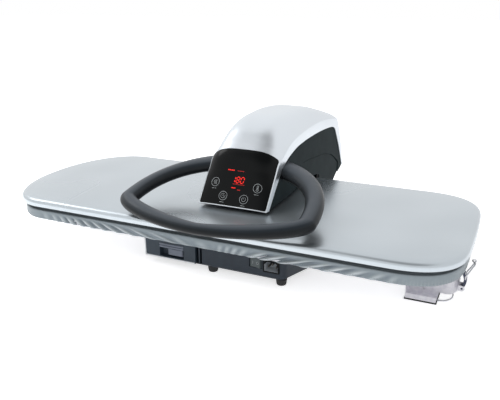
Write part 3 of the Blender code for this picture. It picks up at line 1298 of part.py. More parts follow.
def build_inside(dark, board, rubber):
    floor = FLOOR_TOP + FIT_GAP
    z = floor + PUMP_RADIUS
    half = PUMP_LENGTH / 2
    barrel = rod((PUMP_X, PUMP_Y - half, z), (PUMP_X, PUMP_Y + half, z), PUMP_RADIUS)
    body = add_piece("water_pump", barrel, dark, "base")
    reach = half + PUMP_NECK
    join(body, [rod((PUMP_X, PUMP_Y - reach, z), (PUMP_X, PUMP_Y + reach, z), PUMP_NECK_RADIUS, 12)], "base")
    low = (POWER_PCB_X - POWER_PCB_WIDTH / 2, POWER_PCB_Y - POWER_PCB_LENGTH / 2)
    high = (POWER_PCB_X + POWER_PCB_WIDTH / 2, POWER_PCB_Y + POWER_PCB_LENGTH / 2)
    under = floor + POWER_LEG
    pcb = add_piece("power_board", box((*low, under), (*high, under + BOARD_PCB_THICKNESS)), board, "base")
    inset = 2 * POWER_LEG_RADIUS
    legs = [rod((x, y, floor), (x, y, under + BOARD_PCB_THICKNESS / 2), POWER_LEG_RADIUS, 8)
            for x in (low[0] + inset, high[0] - inset) for y in (low[1] + inset, high[1] - inset)]
    seat = under + BOARD_PCB_THICKNESS / 2
    size = TRANSFORMER_SIZE
    coil = box((POWER_PCB_X - size / 2, POWER_PCB_Y - size, seat),
               (POWER_PCB_X + size / 2, POWER_PCB_Y, seat + size * 0.8))
    can_place = (POWER_PCB_X, POWER_PCB_Y + size)
    can = rod((*can_place, seat), (*can_place, seat + CAPACITOR_HEIGHT), CAPACITOR_RADIUS, 12)
    join(pcb, legs + [coil, can], "base")
    start_x, start_y, start_z = tank_centre_x(), valve_back() + 2 * FIT_GAP, valve_height()
    end_y = PUMP_Y + reach + 2 * FIT_GAP
    bend = PUMP_NECK * 2
    route = [(start_x, start_y, start_z), (start_x, start_y + bend / 2, start_z),
             (start_x + bend / 2, start_y + bend, start_z),
             (DIVIDER_X, start_y + bend * 1.2, (start_z + z) / 2),
             (PUMP_X - bend / 2, start_y + bend * 0.8, z), (PUMP_X, end_y + bend / 2, z), (PUMP_X, end_y, z)]
    add_piece("feed_hose", tube(smooth_path(route, 4), HOSE_RADIUS, HOSE_SIDES), rubber, "base")


def build_end_bracket(steel, rubber, paint):
    t = BRACKET_STEEL
    low_z = STRIP_THICKNESS + FIT_GAP
    left, right = BRACKET_LEFT_X, BRACKET_RIGHT_X
    top = PAN_UNDER - FIT_GAP
    front, back = BRACKET_FRONT_Y, BRACKET_BACK_Y
    item = add_piece("end_bracket", box((left, front, low_z), (right, back, low_z + t)), steel, "base")
    lip_top = low_z + BRACKET_LIP
    lip = prism([(front - BRACKET_LIP / 4, low_z + t / 3), (front + t, low_z), (front + t, low_z + t),
                 (front + t / 2, lip_top), (front - t / 2, lip_top)], "X", left, right)
    gusset = prism([(front, low_z + t / 2), (back, low_z + t / 2), (back, top), (BRACKET_WEB_Y, top),
                    (front, low_z + BRACKET_GUSSET)], "X", left, left + t)
    web = box((left + t / 2, BRACKET_WEB_Y, low_z + t / 2), (right, BRACKET_WEB_Y + t, top))
    tab = box((left, BRACKET_WEB_Y, top - t), (right, back, top))
    join(item, [lip, gusset, web, tab], "base")
    middle = (left + right) / 2
    disc_x, disc_z = left + BRACKET_DISC * 1.6, low_z + BRACKET_DISC * 2.4
    disc = rod((disc_x, BRACKET_WEB_Y - CUT_OVERRUN, disc_z),
               (disc_x, BRACKET_WEB_Y + t + CUT_OVERRUN, disc_z), BRACKET_DISC)
    slot = box((middle, BRACKET_WEB_Y - CUT_OVERRUN, low_z + BRACKET_DISC),
               (middle + BRACKET_SLOT, BRACKET_WEB_Y + t + CUT_OVERRUN, low_z + BRACKET_DISC * 3.4))
    cut(item, [disc, slot], "base")
    over = STRIP_OVERHANG
    pad = box((left - over, front - over, 0.0), (right + over, back, STRIP_THICKNESS))
    strip = add_piece("bracket_strip", pad, rubber, "base")
    soften(strip, STRIP_THICKNESS / 4, 1)
    build_wing(steel)
    build_latch(steel, paint)


def build_wing(steel):
    """The sheet that follows the board's corner from the bracket, with the latch's ears."""
    t = WING_SHEET
    web_y = BRACKET_WEB_Y - FIT_GAP - t
    start = (BRACKET_RIGHT_X + WING_LAP / 2, web_y)
    end = (LATCH_X - LATCH_KNUCKLE - t, LATCH_Y + LATCH_WIDTH)
    outer = [(BRACKET_RIGHT_X - WING_LAP, web_y, 0.0), (BRACKET_RIGHT_X, web_y, 0.0)]
    for step in range(1, WING_STEPS + 1):
        share = step / WING_STEPS
        x = start[0] + (end[0] - start[0]) * math.sin(share * math.pi / 2)
        y = start[1] + (end[1] - start[1]) * (1 - math.cos(share * math.pi / 2))
        outer.append((x, y - WING_SAG * math.sin(share * math.pi), share))
    rings = []
    for index, (x, y, share) in enumerate(outer):
        before, after = outer[max(index - 1, 0)], outer[min(index + 1, len(outer) - 1)]
        normal = Vector((after[1] - before[1], before[0] - after[0])).normalized()
        foot = WING_FOOT_Z + (LATCH_Z - WING_FOOT_Z - LATCH_EAR_RADIUS) * share ** 2
        rings.append([(x, y, foot), (x, y, WING_TOP_Z), (x - normal.x * t, y - normal.y * t, WING_TOP_Z),
                      (x - normal.x * t, y - normal.y * t, foot)])
    item = add_piece("corner_wing", loft(rings), steel, "base")
    ears = []
    for low_y in (LATCH_Y - LATCH_WIDTH / 2 - FIT_GAP - LATCH_EAR, LATCH_Y + LATCH_WIDTH / 2 + FIT_GAP):
        shape = arc((LATCH_X, LATCH_Z), LATCH_EAR_RADIUS, -90, 90, 6)
        shape += [(end[0] - t / 2, LATCH_Z + LATCH_EAR_RADIUS), (end[0] - t / 2, LATCH_Z - LATCH_EAR_RADIUS)]
        ears.append(prism(shape, "Y", low_y, low_y + LATCH_EAR))
    back_low = (end[0] - t, LATCH_Y - LATCH_WIDTH / 2 - LATCH_EAR, LATCH_Z - LATCH_EAR_RADIUS)
    back_high = (end[0], LATCH_Y + LATCH_WIDTH, LATCH_Z + LATCH_EAR_RADIUS)
    join(item, ears + [box(back_low, back_high)], "base")
    reach = LATCH_WIDTH + LATCH_EAR
    cut(item, [rod((LATCH_X, LATCH_Y - reach, LATCH_Z), (LATCH_X, LATCH_Y + reach, LATCH_Z),
                   LATCH_PIN_RADIUS + FIT_GAP, 12)], "base")
    wire = LOOP_WIRE
    x, y, z = BRACKET_RIGHT_X + FIT_GAP + wire / 2, BRACKET_WEB_Y - LOOP_WIDTH / 2, STRIP_THICKNESS + wire
    path = [(x, y, z), (x + LOOP_REACH * 0.6, y - wire, z + LOOP_RISE * 0.6),
            (x + LOOP_REACH * 0.95, y + LOOP_WIDTH * 0.2, z + LOOP_RISE),
            (x + LOOP_REACH, y + LOOP_WIDTH * 0.5, z + LOOP_RISE),
            (x + LOOP_REACH * 0.95, y + LOOP_WIDTH * 0.8, z + LOOP_RISE),
            (x + LOOP_REACH * 0.6, y + LOOP_WIDTH + wire, z + LOOP_RISE * 0.6),
            (x, y + LOOP_WIDTH, z)]
    add_piece("wire_loop", tube(smooth_path(path, 3), wire), steel, "base")


def build_latch(steel, paint):
    half = LATCH_WIDTH / 2
    t = LATCH_THICKNESS
    outer, inner = [], []
    for step in range(1, LATCH_STEPS + 1):
        share = step / LATCH_STEPS
        bow = LATCH_BOW * math.sin(math.pi * share)
        outer.append((LATCH_X + t / 2 + bow, LATCH_Z + LATCH_LENGTH * share))
        inner.append((LATCH_X - t / 2 + bow, LATCH_Z + LATCH_LENGTH * share))
    knuckle = arc((LATCH_X, LATCH_Z), LATCH_KNUCKLE, 130, 410, 12)
    profile = knuckle + outer + list(reversed(inner))
    item = add_piece("latch_lever", prism(profile, "Y", LATCH_Y - half, LATCH_Y + half), paint, "lever")
    pin_half = half + FIT_GAP + LATCH_EAR
    join(item, [rod((LATCH_X, LATCH_Y - pin_half, LATCH_Z), (LATCH_X, LATCH_Y + pin_half, LATCH_Z),
                    LATCH_PIN_RADIUS, 12)], "lever")
    pivot_x, pivot_z = bail_pivot()
    beyond = half + CUT_OVERRUN
    cut(item, [rod((pivot_x, LATCH_Y - beyond, pivot_z), (pivot_x, LATCH_Y + beyond, pivot_z),
                   BAIL_WIRE + FIT_GAP, 12)], "lever")
    reach = half + BAIL_WIRE * 2
    top_z = pivot_z + BAIL_HEIGHT
    top_x = pivot_x + BAIL_LEAN
    side = [(pivot_x, half / 3, pivot_z), (pivot_x, half, pivot_z), (pivot_x, reach, pivot_z + BAIL_WIRE),
            (pivot_x, reach + BAIL_WIRE, pivot_z + BAIL_WIRE * 3),
            (pivot_x + BAIL_LEAN * 0.6, reach, pivot_z + BAIL_HEIGHT * 0.6), (top_x, half, top_z),
            (top_x - BAIL_HOOK, half / 2, top_z + BAIL_WIRE)]
    path = [(x, LATCH_Y - y, z) for x, y, z in side] + [(x, LATCH_Y + y, z) for x, y, z in reversed(side)]
    add_piece("latch_bail", tube(smooth_path(path, 2), BAIL_WIRE), steel, "bail")


def bail_pivot():
    share = BAIL_PIVOT_share
    return (LATCH_X + LATCH_BOW * math.sin(math.pi * share), LATCH_Z + LATCH_LENGTH * share)


def centre_on_origin():
    """Move the whole press so that the middle of its footprint lies on the vertical axis."""
    depsgraph = bpy.context.evaluated_depsgraph_get()
    corners = []
    for item in bpy.context.scene.objects:
        if item.type == "MESH" and not item.hide_render:
            shape = item.evaluated_get(depsgraph)
            corners += [shape.matrix_world @ vert.co for vert in shape.data.vertices]
    middle = [(min(c[axis] for c in corners) + max(c[axis] for c in corners)) / 2 for axis in (0, 1)]
    BODIES["base"][0].location = (-middle[0], -middle[1], 0.0)
    bpy.context.view_layer.update()
    for name, carrier in BODIES.items():
        place = carrier[0].matrix_world.translation
        print(f"{name}: {place.x:.5f} {place.y:.5f} {place.z:.5f}")


def build():
    clear_scene()
    dark = make_material("graphite_abs", (0.044, 0.060, 0.078), 0.45)
    side = make_material("anthracite_abs", (0.055, 0.070, 0.074), 0.5)
    rubber = make_material("black_rubber", (0.010, 0.010, 0.011), 0.7)
    grip = make_material("soft_touch_grip", (0.055, 0.063, 0.072), 0.42)
    silver = make_material("silver_paint", (0.62, 0.66, 0.68), 0.32, 0.35)
    steel = make_material("bright_steel", (0.55, 0.55, 0.57), 0.3, 1.0)
    dull = make_material("zinc_sheet", (0.60, 0.59, 0.62), 0.4, 0.6)
    aluminium = make_material("cast_aluminium", (0.60, 0.61, 0.62), 0.45, 0.9)
    felt = make_material("felt", (0.72, 0.70, 0.64), 0.95)
    fabric = make_material("coated_cloth", (0.42, 0.49, 0.53), 0.6)
    glass = make_material("black_glass", (0.006, 0.007, 0.008), 0.12)
    pcb = make_material("circuit_board", (0.02, 0.12, 0.05), 0.5)
    clear = make_material("smoke_tank", (0.10, 0.12, 0.14), 0.2)
    brass = make_material("brass_pin", (0.65, 0.52, 0.25), 0.3, 1.0)
    blue = make_material("navy_lever", (0.02, 0.03, 0.09), 0.4)
    wool = make_material("mineral_wool", (0.55, 0.52, 0.40), 0.95)
    rocker_grey = make_material("rocker_grey", (0.36, 0.38, 0.39), 0.4)
    add_body("base", (0, 0, 0))
    add_body("head", (ARM_X, HINGE_Y, HINGE_Z), "base")
    add_body("plate", (ARM_X, PIVOT_Y, PIVOT_Z), "head")
    add_body("tank", (tank_centre_x(), BASE_FRONT_Y, FLOOR_TOP), "base")
    add_body("rocker", (SWITCH_X, BASE_FRONT_Y + ROCKER_AXIS_DEPTH, SWITCH_Z), "base")
    add_body("lever", (LATCH_X, LATCH_Y, LATCH_Z), "base")
    pivot_x, pivot_z = bail_pivot()
    add_body("bail", (pivot_x, LATCH_Y, pivot_z), "lever")
    build_base(dark, rubber)
    build_column(dark, steel)
    build_board(dull, felt, fabric)
    build_inside(dark, pcb, rubber)
    build_switch(dark, rocker_grey)
    build_inlet(dark, brass)
    build_tank(dark, clear, rubber)
    build_end_bracket(dull, rubber, blue)
    build_arm_cover(silver)
    build_sides(side)
    build_belly(side)
    build_frame(steel)
    build_panel(glass)
    build_control_board(pcb)
    build_handle(grip)
    build_plate(silver, aluminium, steel, wool)
    centre_on_origin()


build()
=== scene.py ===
import json
import math
import random

import bmesh
import bpy
from mathutils import Matrix, Vector


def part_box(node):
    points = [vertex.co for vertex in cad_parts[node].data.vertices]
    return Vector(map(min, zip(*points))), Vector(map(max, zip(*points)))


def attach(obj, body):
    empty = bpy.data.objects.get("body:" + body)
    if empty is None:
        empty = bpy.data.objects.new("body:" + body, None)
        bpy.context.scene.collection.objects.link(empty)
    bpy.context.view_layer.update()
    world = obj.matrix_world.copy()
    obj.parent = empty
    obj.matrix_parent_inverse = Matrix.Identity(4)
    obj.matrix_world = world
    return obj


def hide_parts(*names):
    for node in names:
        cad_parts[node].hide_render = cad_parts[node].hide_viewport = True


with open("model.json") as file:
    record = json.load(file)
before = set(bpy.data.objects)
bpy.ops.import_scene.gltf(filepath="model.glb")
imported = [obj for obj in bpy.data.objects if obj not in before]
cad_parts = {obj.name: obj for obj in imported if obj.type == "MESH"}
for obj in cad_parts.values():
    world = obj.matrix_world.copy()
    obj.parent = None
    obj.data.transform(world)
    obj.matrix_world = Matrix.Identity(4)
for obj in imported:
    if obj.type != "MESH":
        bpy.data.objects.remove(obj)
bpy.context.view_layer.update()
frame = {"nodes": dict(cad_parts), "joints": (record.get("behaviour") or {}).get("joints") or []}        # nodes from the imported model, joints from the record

nodes = frame["nodes"]
joints = {joint["name"]: joint for joint in frame["joints"]}
millimetre = 0.001
print("frame loaded:", len(nodes), "solids")

# The press is drawn round its board's middle, and the frame says where that is
shellLow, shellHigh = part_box("plate_shell")
middle = Vector(((shellLow.x + shellHigh.x) / 2, (shellLow.y + shellHigh.y) / 2, 0))
armLow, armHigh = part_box("arm_cover")
armX = (armLow.x + armHigh.x) / 2 - middle.x
armHalf = (armHigh.x - armLow.x) / 2
hinge = Vector(joints["head_lift"]["pos_m"]) - middle


# Colours, nodes and finishes

def srgb(code):
    parts = [int(code[start:start + 2], 16) / 255 for start in (1, 3, 5)]
    return (*[part / 12.92 if part <= 0.04045 else ((part + 0.055) / 1.055) ** 2.4 for part in parts], 1.0)


def addNode(tree, kind, links=None, into=None, stops=(), **settings):
    # A link starts at a socket, or at a node's first output. Stops are a ramp's places and colours.
    node = tree.nodes.new(kind)
    for name, value in settings.items():
        if name.startswith("in_"):
            key = name[3:]
            node.inputs[int(key) if key.isdigit() else key.replace("_", " ")].default_value = value
        else:
            setattr(node, name, value)
    for index, (position, code) in enumerate(stops):
        ramp = node.color_ramp.elements
        stop = ramp[index] if index < 2 else ramp.new(position)
        stop.position = position
        stop.color = srgb(code)
    for key, source in (links or {}).items():
        socket = source if isinstance(source, bpy.types.NodeSocket) else source.outputs[0]
        tree.links.new(socket, node.inputs[key])
    if into:
        tree.links.new(node.outputs[0], into)
    return node


def innards(material):
    tree = material.node_tree
    return tree, tree.nodes["Principled BSDF"].inputs, tree.nodes["Texture Coordinate"].outputs


def newMaterial(name, colour, roughness, metallic=0.0, ior=1.5, more=None):
    material = bpy.data.materials.new(name)
    material.use_nodes = True
    material.diffuse_color = srgb(colour)
    addNode(material.node_tree, "ShaderNodeTexCoord")
    settings = {"Base Color": srgb(colour), "Roughness": roughness, "Metallic": metallic, "IOR": ior}
    for key, value in (settings | (more or {})).items():
        innards(material)[1][key].default_value = value
    return material


def grained(material, size, height, strength, detail=3.0, vector=None):
    tree, shader, coords = innards(material)
    noise = addNode(tree, "ShaderNodeTexNoise", {"Vector": vector or coords["Object"]},
                    in_Scale=1 / size, in_Detail=detail)
    addNode(tree, "ShaderNodeBump", {"Height": noise}, shader["Normal"],
            in_Distance=height, in_Strength=strength)


bandScale = 0.314        # a wave texture's scale for bands one metre apart


def ridged(material, pitch, direction, height, strength, distortion=0.0):
    tree, shader, coords = innards(material)
    wave = addNode(tree, "ShaderNodeTexWave", {"Vector": coords["Object"]}, bands_direction=direction,
                   in_Scale=bandScale / pitch, in_Distortion=distortion)
    addNode(tree, "ShaderNodeBump", {"Height": wave.outputs["Fac"]}, shader["Normal"],
            in_Distance=height, in_Strength=strength)


def blotched(material, size, light, dark, detail=4.0):
    tree, shader, coords = innards(material)
    noise = addNode(tree, "ShaderNodeTexNoise", {"Vector": coords["Object"]},
                    in_Scale=1 / size, in_Detail=detail)
    addNode(tree, "ShaderNodeValToRGB", {"Fac": noise}, shader["Base Color"], ((0.35, dark), (0.65, light)))


def worn(material, size, detail, low, high, start=0.3):
    # Gloss that wanders between two roughnesses
    tree, shader, coords = innards(material)
    noise = addNode(tree, "ShaderNodeTexNoise", {"Vector": coords["Object"]},
                    in_Scale=1 / size, in_Detail=detail)
    addNode(tree, "ShaderNodeMapRange", {"Value": noise}, shader["Roughness"],
            in_From_Min=start, in_From_Max=1 - start, in_To_Min=low, in_To_Max=high)


def makeFinish(name, colour, roughness, patch, light, dark, metallic=0.0, ior=1.53, grain=None, ridges=None,
               more=None):
    material = newMaterial(name, colour, roughness, metallic, ior, more)
    blotched(material, patch, light, dark)
    if grain:
        grained(material, *grain)
    if ridges:
        ridged(material, *ridges)
    return material


# Injection-moulded plastics: spark-eroded mould grain, dull with a soft highlight
def makeAbs(name, colour, light, roughness, shine=0.28):
    return makeFinish(name, colour, roughness, 0.03, light, colour, grain=(0.9 * millimetre, 0.00006, 0.35),
                      more={"Specular IOR Level": shine})


# Silver paint over steel: fine flake under a clear coat, an even soft sheen
def makeSilver(name, colour, light, dark, roughness):
    material = newMaterial(name, colour, roughness, 0.85, more={"Coat Weight": 0.15, "Coat Roughness": 0.22})
    blotched(material, 0.11, light, dark, 0.0)
    worn(material, 0.14, 0.0, roughness - 0.02, roughness + 0.03)
    return material


# Metallised cotton: a plain weave with an aluminium face, dull silver with soft creases
def makeCoverCloth():
    material = newMaterial("metallisedCottonWeave", "#BAC2C8", 0.45, 0.4,
                           more={"Sheen Weight": 0.1, "Sheen Roughness": 0.4})
    tree, shader, coords = innards(material)
    uv = {"Vector": coords["UV"]}
    thread = 1.3 * millimetre          # a real thread is 0.4 mm, drawn as coarse as it needs to show
    warp, weft = (addNode(tree, "ShaderNodeTexWave", uv, bands_direction=way, in_Scale=bandScale / thread)
                  for way in "XY")
    weave = addNode(tree, "ShaderNodeMath", {0: warp.outputs["Fac"], 1: weft.outputs["Fac"]},
                    operation="MULTIPLY")
    threads = addNode(tree, "ShaderNodeBump", {"Height": weave}, in_Distance=0.00012, in_Strength=0.35)
    crease = addNode(tree, "ShaderNodeTexNoise", uv, in_Scale=1 / 0.016, in_Detail=2.0, in_Distortion=0.6)
    addNode(tree, "ShaderNodeBump", {"Height": crease, "Normal": threads}, shader["Normal"],
            in_Distance=0.0006, in_Strength=0.22)
    # Painted shade in the fold valleys and a painted highlight on the fold crests
    folds = addNode(tree, "ShaderNodeAttribute", attribute_name="foldShade")
    level = addNode(tree, "ShaderNodeMapRange", {"Value": folds.outputs["Fac"]},
                    in_From_Min=-0.45, in_From_Max=0.85)
    shade = addNode(tree, "ShaderNodeValToRGB", {"Fac": level},
                    stops=((0.0, "#555E63"), (0.16, "#78828A"), (0.36, "#8B959B"), (1.0, "#C6CDD1")))
    speck = addNode(tree, "ShaderNodeTexNoise", uv, in_Scale=1 / 0.006, in_Detail=4.0)
    dust = addNode(tree, "ShaderNodeMapRange", {"Value": speck}, in_From_Min=0.3, in_From_Max=0.7,
                   in_To_Min=0.95, in_To_Max=1.0)
    addNode(tree, "ShaderNodeVectorMath", {0: shade, 1: dust}, shader["Base Color"], operation="MULTIPLY")
    return material


# Soft-touch polyurethane skin: matt, slightly velvety, painted paler on its upper faces and darker underneath
# as painted light and shade
def makeGripSkin():
    material = newMaterial("softTouchPolyurethane", "#14191E", 0.38,
                           more={"Specular IOR Level": 0.2, "Sheen Weight": 0.05})
    tree, shader, coords = innards(material)
    # Painted light and shade: the colour runs from near black where the surface faces down to pale grey where
    # it faces up
    facing = addNode(tree, "ShaderNodeSeparateXYZ", {"Vector": coords["Normal"]})
    paintedTopLight = addNode(tree, "ShaderNodeMapRange", {"Value": facing.outputs["Z"]},
                     in_From_Min=-0.1, in_From_Max=1.0)
    addNode(tree, "ShaderNodeValToRGB", {"Fac": paintedTopLight}, shader["Base Color"],
            ((0.0, "#0A0E12"), (0.50, "#12171B"), (0.78, "#23292F"), (1.0, "#4A5057")))
    grained(material, 1.1 * millimetre, 0.00005, 0.3)
    worn(material, 0.035, 5.0, 0.33, 0.42, 0.35)
    return material


# Black-backed acrylic: hard gloss with a trace of wiping
def makePanelGlass():
    material = newMaterial("blackBackedAcrylic", "#07090A", 0.12, ior=1.49, more={"Specular IOR Level": 0.15})
    worn(material, 0.02, 4.0, 0.11, 0.17)
    return material


# Zinc-plated sheet: bright, faintly lilac, with rolling lines
def makeZincSheet():
    material = makeFinish("zincPlatedSheet", "#F2F1F6", 0.42, 0.006, "#F4F3F8", "#E8E7EE", 0.15, 1.5)
    tree, _, coords = innards(material)
    rolled = addNode(tree, "ShaderNodeMapping", {"Vector": coords["Object"]}, in_Scale=(1.0, 1.0, 14.0))
    grained(material, 0.010, 0.00003, 0.2, 5.0, rolled)
    return material


# Drawn or ground bright steel: fine lines and small changes of gloss
def makeBrightSteel():
    material = newMaterial("groundBrightSteel", "#C2C3C6", 0.28, 1.0)
    grained(material, 0.7 * millimetre, 0.00002, 0.25)
    worn(material, 0.7 * millimetre, 3.0, 0.22, 0.34)
    return material


# Needled felt and mineral wool: matted short fibres
def makeFibreMat(name, light, dark, fibre):
    material = makeFinish(name, light, 0.95, 0.004, light, dark, ior=1.5, more={"Sheen Weight": 0.3})
    tree, shader, coords = innards(material)
    mat = addNode(tree, "ShaderNodeTexVoronoi", {"Vector": coords["Object"]}, in_Scale=1 / fibre)
    addNode(tree, "ShaderNodeBump", {"Height": mat}, shader["Normal"], in_Distance=0.0004, in_Strength=0.6)
    return material


# Epoxy-glass board under green solder mask: glossy, with faint tracks
def makeBoardLaminate():
    material = newMaterial("solderMaskedLaminate", "#1E5A38", 0.35, ior=1.55)
    tree, shader, coords = innards(material)
    addNode(tree, "ShaderNodeTexBrick", {"Vector": coords["Object"]}, shader["Base Color"],
            in_Color1=srgb("#1E5A38"), in_Color2=srgb("#226340"), in_Mortar=srgb("#3D7B52"),
            in_Scale=1 / 0.012)
    return material


# Pad-printed ink, and the display's lit and unlit segments
def makeInk(name, colour, glow=0.0):
    more = {"Emission Color": srgb(colour), "Emission Strength": glow} if glow else None
    material = newMaterial(name, colour, 0.5, more=more)
    grained(material, 0.6 * millimetre, 0.00002, 0.2, 2.0)
    return material


silverLacquer = makeSilver("silverFlakeLacquer", "#DEE4EA", "#E0E6EC", "#DCE2E8", 0.36)
plateSilver = makeSilver("satinSilverEnamel", "#C1C9CF", "#C3CBD1", "#BFC7CD", 0.28)
coverCloth = makeCoverCloth()
graphiteAbs = makeAbs("sparkGrainedGraphiteAbs", "#28303A", "#2E3741", 0.44)
anthraciteAbs = makeAbs("satinAnthraciteAbs", "#212B2E", "#263134", 0.56, 0.03)
rockerAbs = makeAbs("glossGreyPolycarbonate", "#596163", "#616A6C", 0.3)
# A paler grey for the tank's grip ribs and finger pad: painted highlight
gripHighlightAbs = makeAbs("gripHighlightGreyAbs", "#757C8A", "#7F8694", 0.32)
tankAbs = makeAbs("sparkGrainedTankAbs", "#313B45", "#37424D", 0.42)
inletBlack = makeAbs("mouldedInletPhenolic", "#0A0B0D", "#0E1012", 0.4, 0.08)
# A paler grey for the inside of the inlet's opening: painted light against the recess's shade
inletRecessLight = makeAbs("inletRecessPaintedLight", "#B4B9BE", "#BEC3C8", 0.5)
# A pale tube along the tank front's left and bottom edges: a painted highlight
edgeHighlightAbs = makeAbs("paintedHighlightEdge", "#EEF2F5", "#F4F7F9", 0.2, 0.5)
gripSkin = makeGripSkin()
panelGlass = makePanelGlass()
zincSheet = makeZincSheet()
brightSteel = makeBrightSteel()
felt = makeFibreMat("needledWoolFelt", "#DAD6CB", "#C9C4B7", 0.9 * millimetre)
mineralWool = makeFibreMat("mineralWoolMat", "#B9B292", "#A39C7E", 1.4 * millimetre)
laminate = makeBoardLaminate()
whiteInk = makeInk("paleGreyPrintInk", "#A3A8AA")
redSegments = makeInk("litRedSegments", "#F0241A", 0.5)
dimSegments = makeInk("dimRedSegments", "#A81410", 0.22)
# Natural rubber: matt black with a little bloom
rubber = makeFinish("mouldedRubber", "#1B1C1E", 0.72, 0.012, "#242527", "#17181A", ior=1.52,
                    grain=(0.8 * millimetre, 0.00008, 0.4))
# Smoke-tinted SAN: clear and hard, dark from the tint
smokeTank = makeFinish("smokeTintedSan", "#4A535C", 0.16, 0.04, "#535D66", "#434C55", ior=1.57,
                       grain=(3.0 * millimetre, 0.00003, 0.2), more={"Transmission Weight": 0.35})
# Stamped brass under bright nickel: a warm grey metal, dulled by handling
brass = makeFinish("nickelPlatedBrass", "#5B5954", 0.4, 0.003, "#625F5A", "#504E4A", 0.9, 1.5,
                   grain=(0.5 * millimetre, 0.00002, 0.3))
# Gloss-moulded nylon: the dark blue latch lever
navyNylon = makeFinish("glossNavyNylon", "#232C4A", 0.25, 0.01, "#2A345A", "#1C2440",
                       grain=(1.5 * millimetre, 0.00003, 0.2))
# Spun polyester thread: matt, pale, a twist along each stitch
hemThread = makeFinish("spunPolyesterThread", "#8F989E", 0.75, 0.01, "#99A2A8", "#818A90", ior=1.5,
                       ridges=(0.6 * millimetre, "DIAGONAL", 0.0001, 0.5))
# Fly-cut castings, bare or under a satin non-stick coat: the cutter's 0.3 mm feed is drawn coarser to show
toolMarks = (2.5 * millimetre, "X", 0.00004, 0.3, 1.5)
castAluminium = makeFinish("flyCutAluminium", "#C9CBCC", 0.38, 0.02, "#CFD1D2", "#BFC1C3", 1.0, 1.5,
                           ridges=toolMarks)
# A dark grey non-stick coat, made dark also to paint shade into the gap between the plate's shell and the
# cover
nonStickGapShade = makeFinish("ptfeCoatedCastingGapShade", "#26292B", 0.38, 0.015, "#2B2E30", "#212426", ior=1.35,
                      ridges=toolMarks)
print("materials made:", len(bpy.data.materials))


# Objects and meshes

def newObject(name, data):
    # A shape becomes a mesh of its own, and a mesh, lamp or camera is used as it is
    if isinstance(data, bmesh.types.BMesh):
        shape, data = data, bpy.data.meshes.new(name)
        shape.to_mesh(data)
        shape.free()
    item = bpy.data.objects.new(name, data)
    bpy.context.collection.objects.link(item)
    return item


def smoothed(item, angle):
    item.data.shade_smooth()
    item.data.set_sharp_from_angle(angle=math.radians(angle))


def addPiece(name, shape, material, body, stands=(), smooth=35):
    item = newObject(name, shape)
    item.data.materials.append(material)
    smoothed(item, smooth)
    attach(item, body)
    if stands:
        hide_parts(*stands)
    return item


def bevelled(item, width, segments=2, angle=30):
    modifier = item.modifiers.new("softEdge", "BEVEL")
    modifier.width = width
    modifier.segments = segments
    modifier.limit_method = "ANGLE"
    modifier.angle_limit = math.radians(angle)
    modifier.harden_normals = True


def baked(item):
    # The evaluated shape becomes the piece's own mesh
    depsgraph = bpy.context.evaluated_depsgraph_get()
    mesh = bpy.data.meshes.new_from_object(item.evaluated_get(depsgraph), depsgraph=depsgraph)
    mesh.name = item.name
    item.modifiers.clear()
    item.data = mesh


def subtract(item, shape, operation="DIFFERENCE"):
    cutter = newObject("cutter", shape)
    modifier = item.modifiers.new("opening", "BOOLEAN")
    modifier.operation = operation
    modifier.solver = "EXACT"
    modifier.object = cutter
    baked(item)
    bpy.data.objects.remove(cutter, do_unlink=True)


def skinned(shape, rows, closed=False):
    # Four-sided faces from each ring of vertices to the next
    for low, high in zip(rows, rows[1:] + rows[:1] if closed else rows[1:]):
        for index in range(len(low)):
            following = (index + 1) % len(low)
            shape.faces.new((low[index], low[following], high[following], high[index]))


def lofted(rings, closed=False):
    shape = bmesh.new()
    rows = [[shape.verts.new(Vector(point) + middle) for point in ring] for ring in rings]
    skinned(shape, rows, closed)
    if not closed:
        shape.faces.new(rows[0])
        shape.faces.new(rows[-1])
    bmesh.ops.recalc_face_normals(shape, faces=shape.faces)
    return shape


def extruded(outline, *ends):
    return lofted([[(x, y, z) for y, z in outline] for x in sorted(ends)])


def slab(low, high):
    shape = bmesh.new()
    low, high = Vector(low) + middle, Vector(high) + middle
    bmesh.ops.create_cube(shape, size=1)
    for vert in shape.verts:
        vert.co = (low + high) / 2 + Vector(a * b for a, b in zip(vert.co, high - low))
    return shape


def joined(shapes):
    whole = bmesh.new()
    for shape in shapes:
        mesh = bpy.data.meshes.new("shape")
        shape.to_mesh(mesh)
        shape.free()
        whole.from_mesh(mesh)
        bpy.data.meshes.remove(mesh)
    return whole


# Studio: a pale floor, a pale room with one darker side, three lamps and the photo's view
camera = {
    "place": (0.4964, -1.0167, 0.4634),   # from the board's middle on the floor, metres
    "turn": 24.62,                        # degrees left of straight ahead
    "dip": 18.39,                         # degrees below level
    "lens": 43.49, "sensor": 36.0,        # millimetres
}
light = {
    "world": 0.38, "shade": 0.30, "darkSide": (0.06, -0.30, 0.95), "darkFrom": 0.80, "darkFull": 0.985,
    "aim": 0.1,
    "keySize": 1.5, "keyPower": 33, "keyPlace": (-1.2, -0.7, 1.9),
    "glintSize": 0.7, "glintPower": 3.4, "glintPlace": (-1.5, 0.1, 1.35),
    "fillSize": 1.6, "fillPower": 11, "fillPlace": (1.4, -1.6, 1.1),
    "floorSize": 14.0, "floorColour": "#F4F5F6", "floorGlow": 0.66,
}


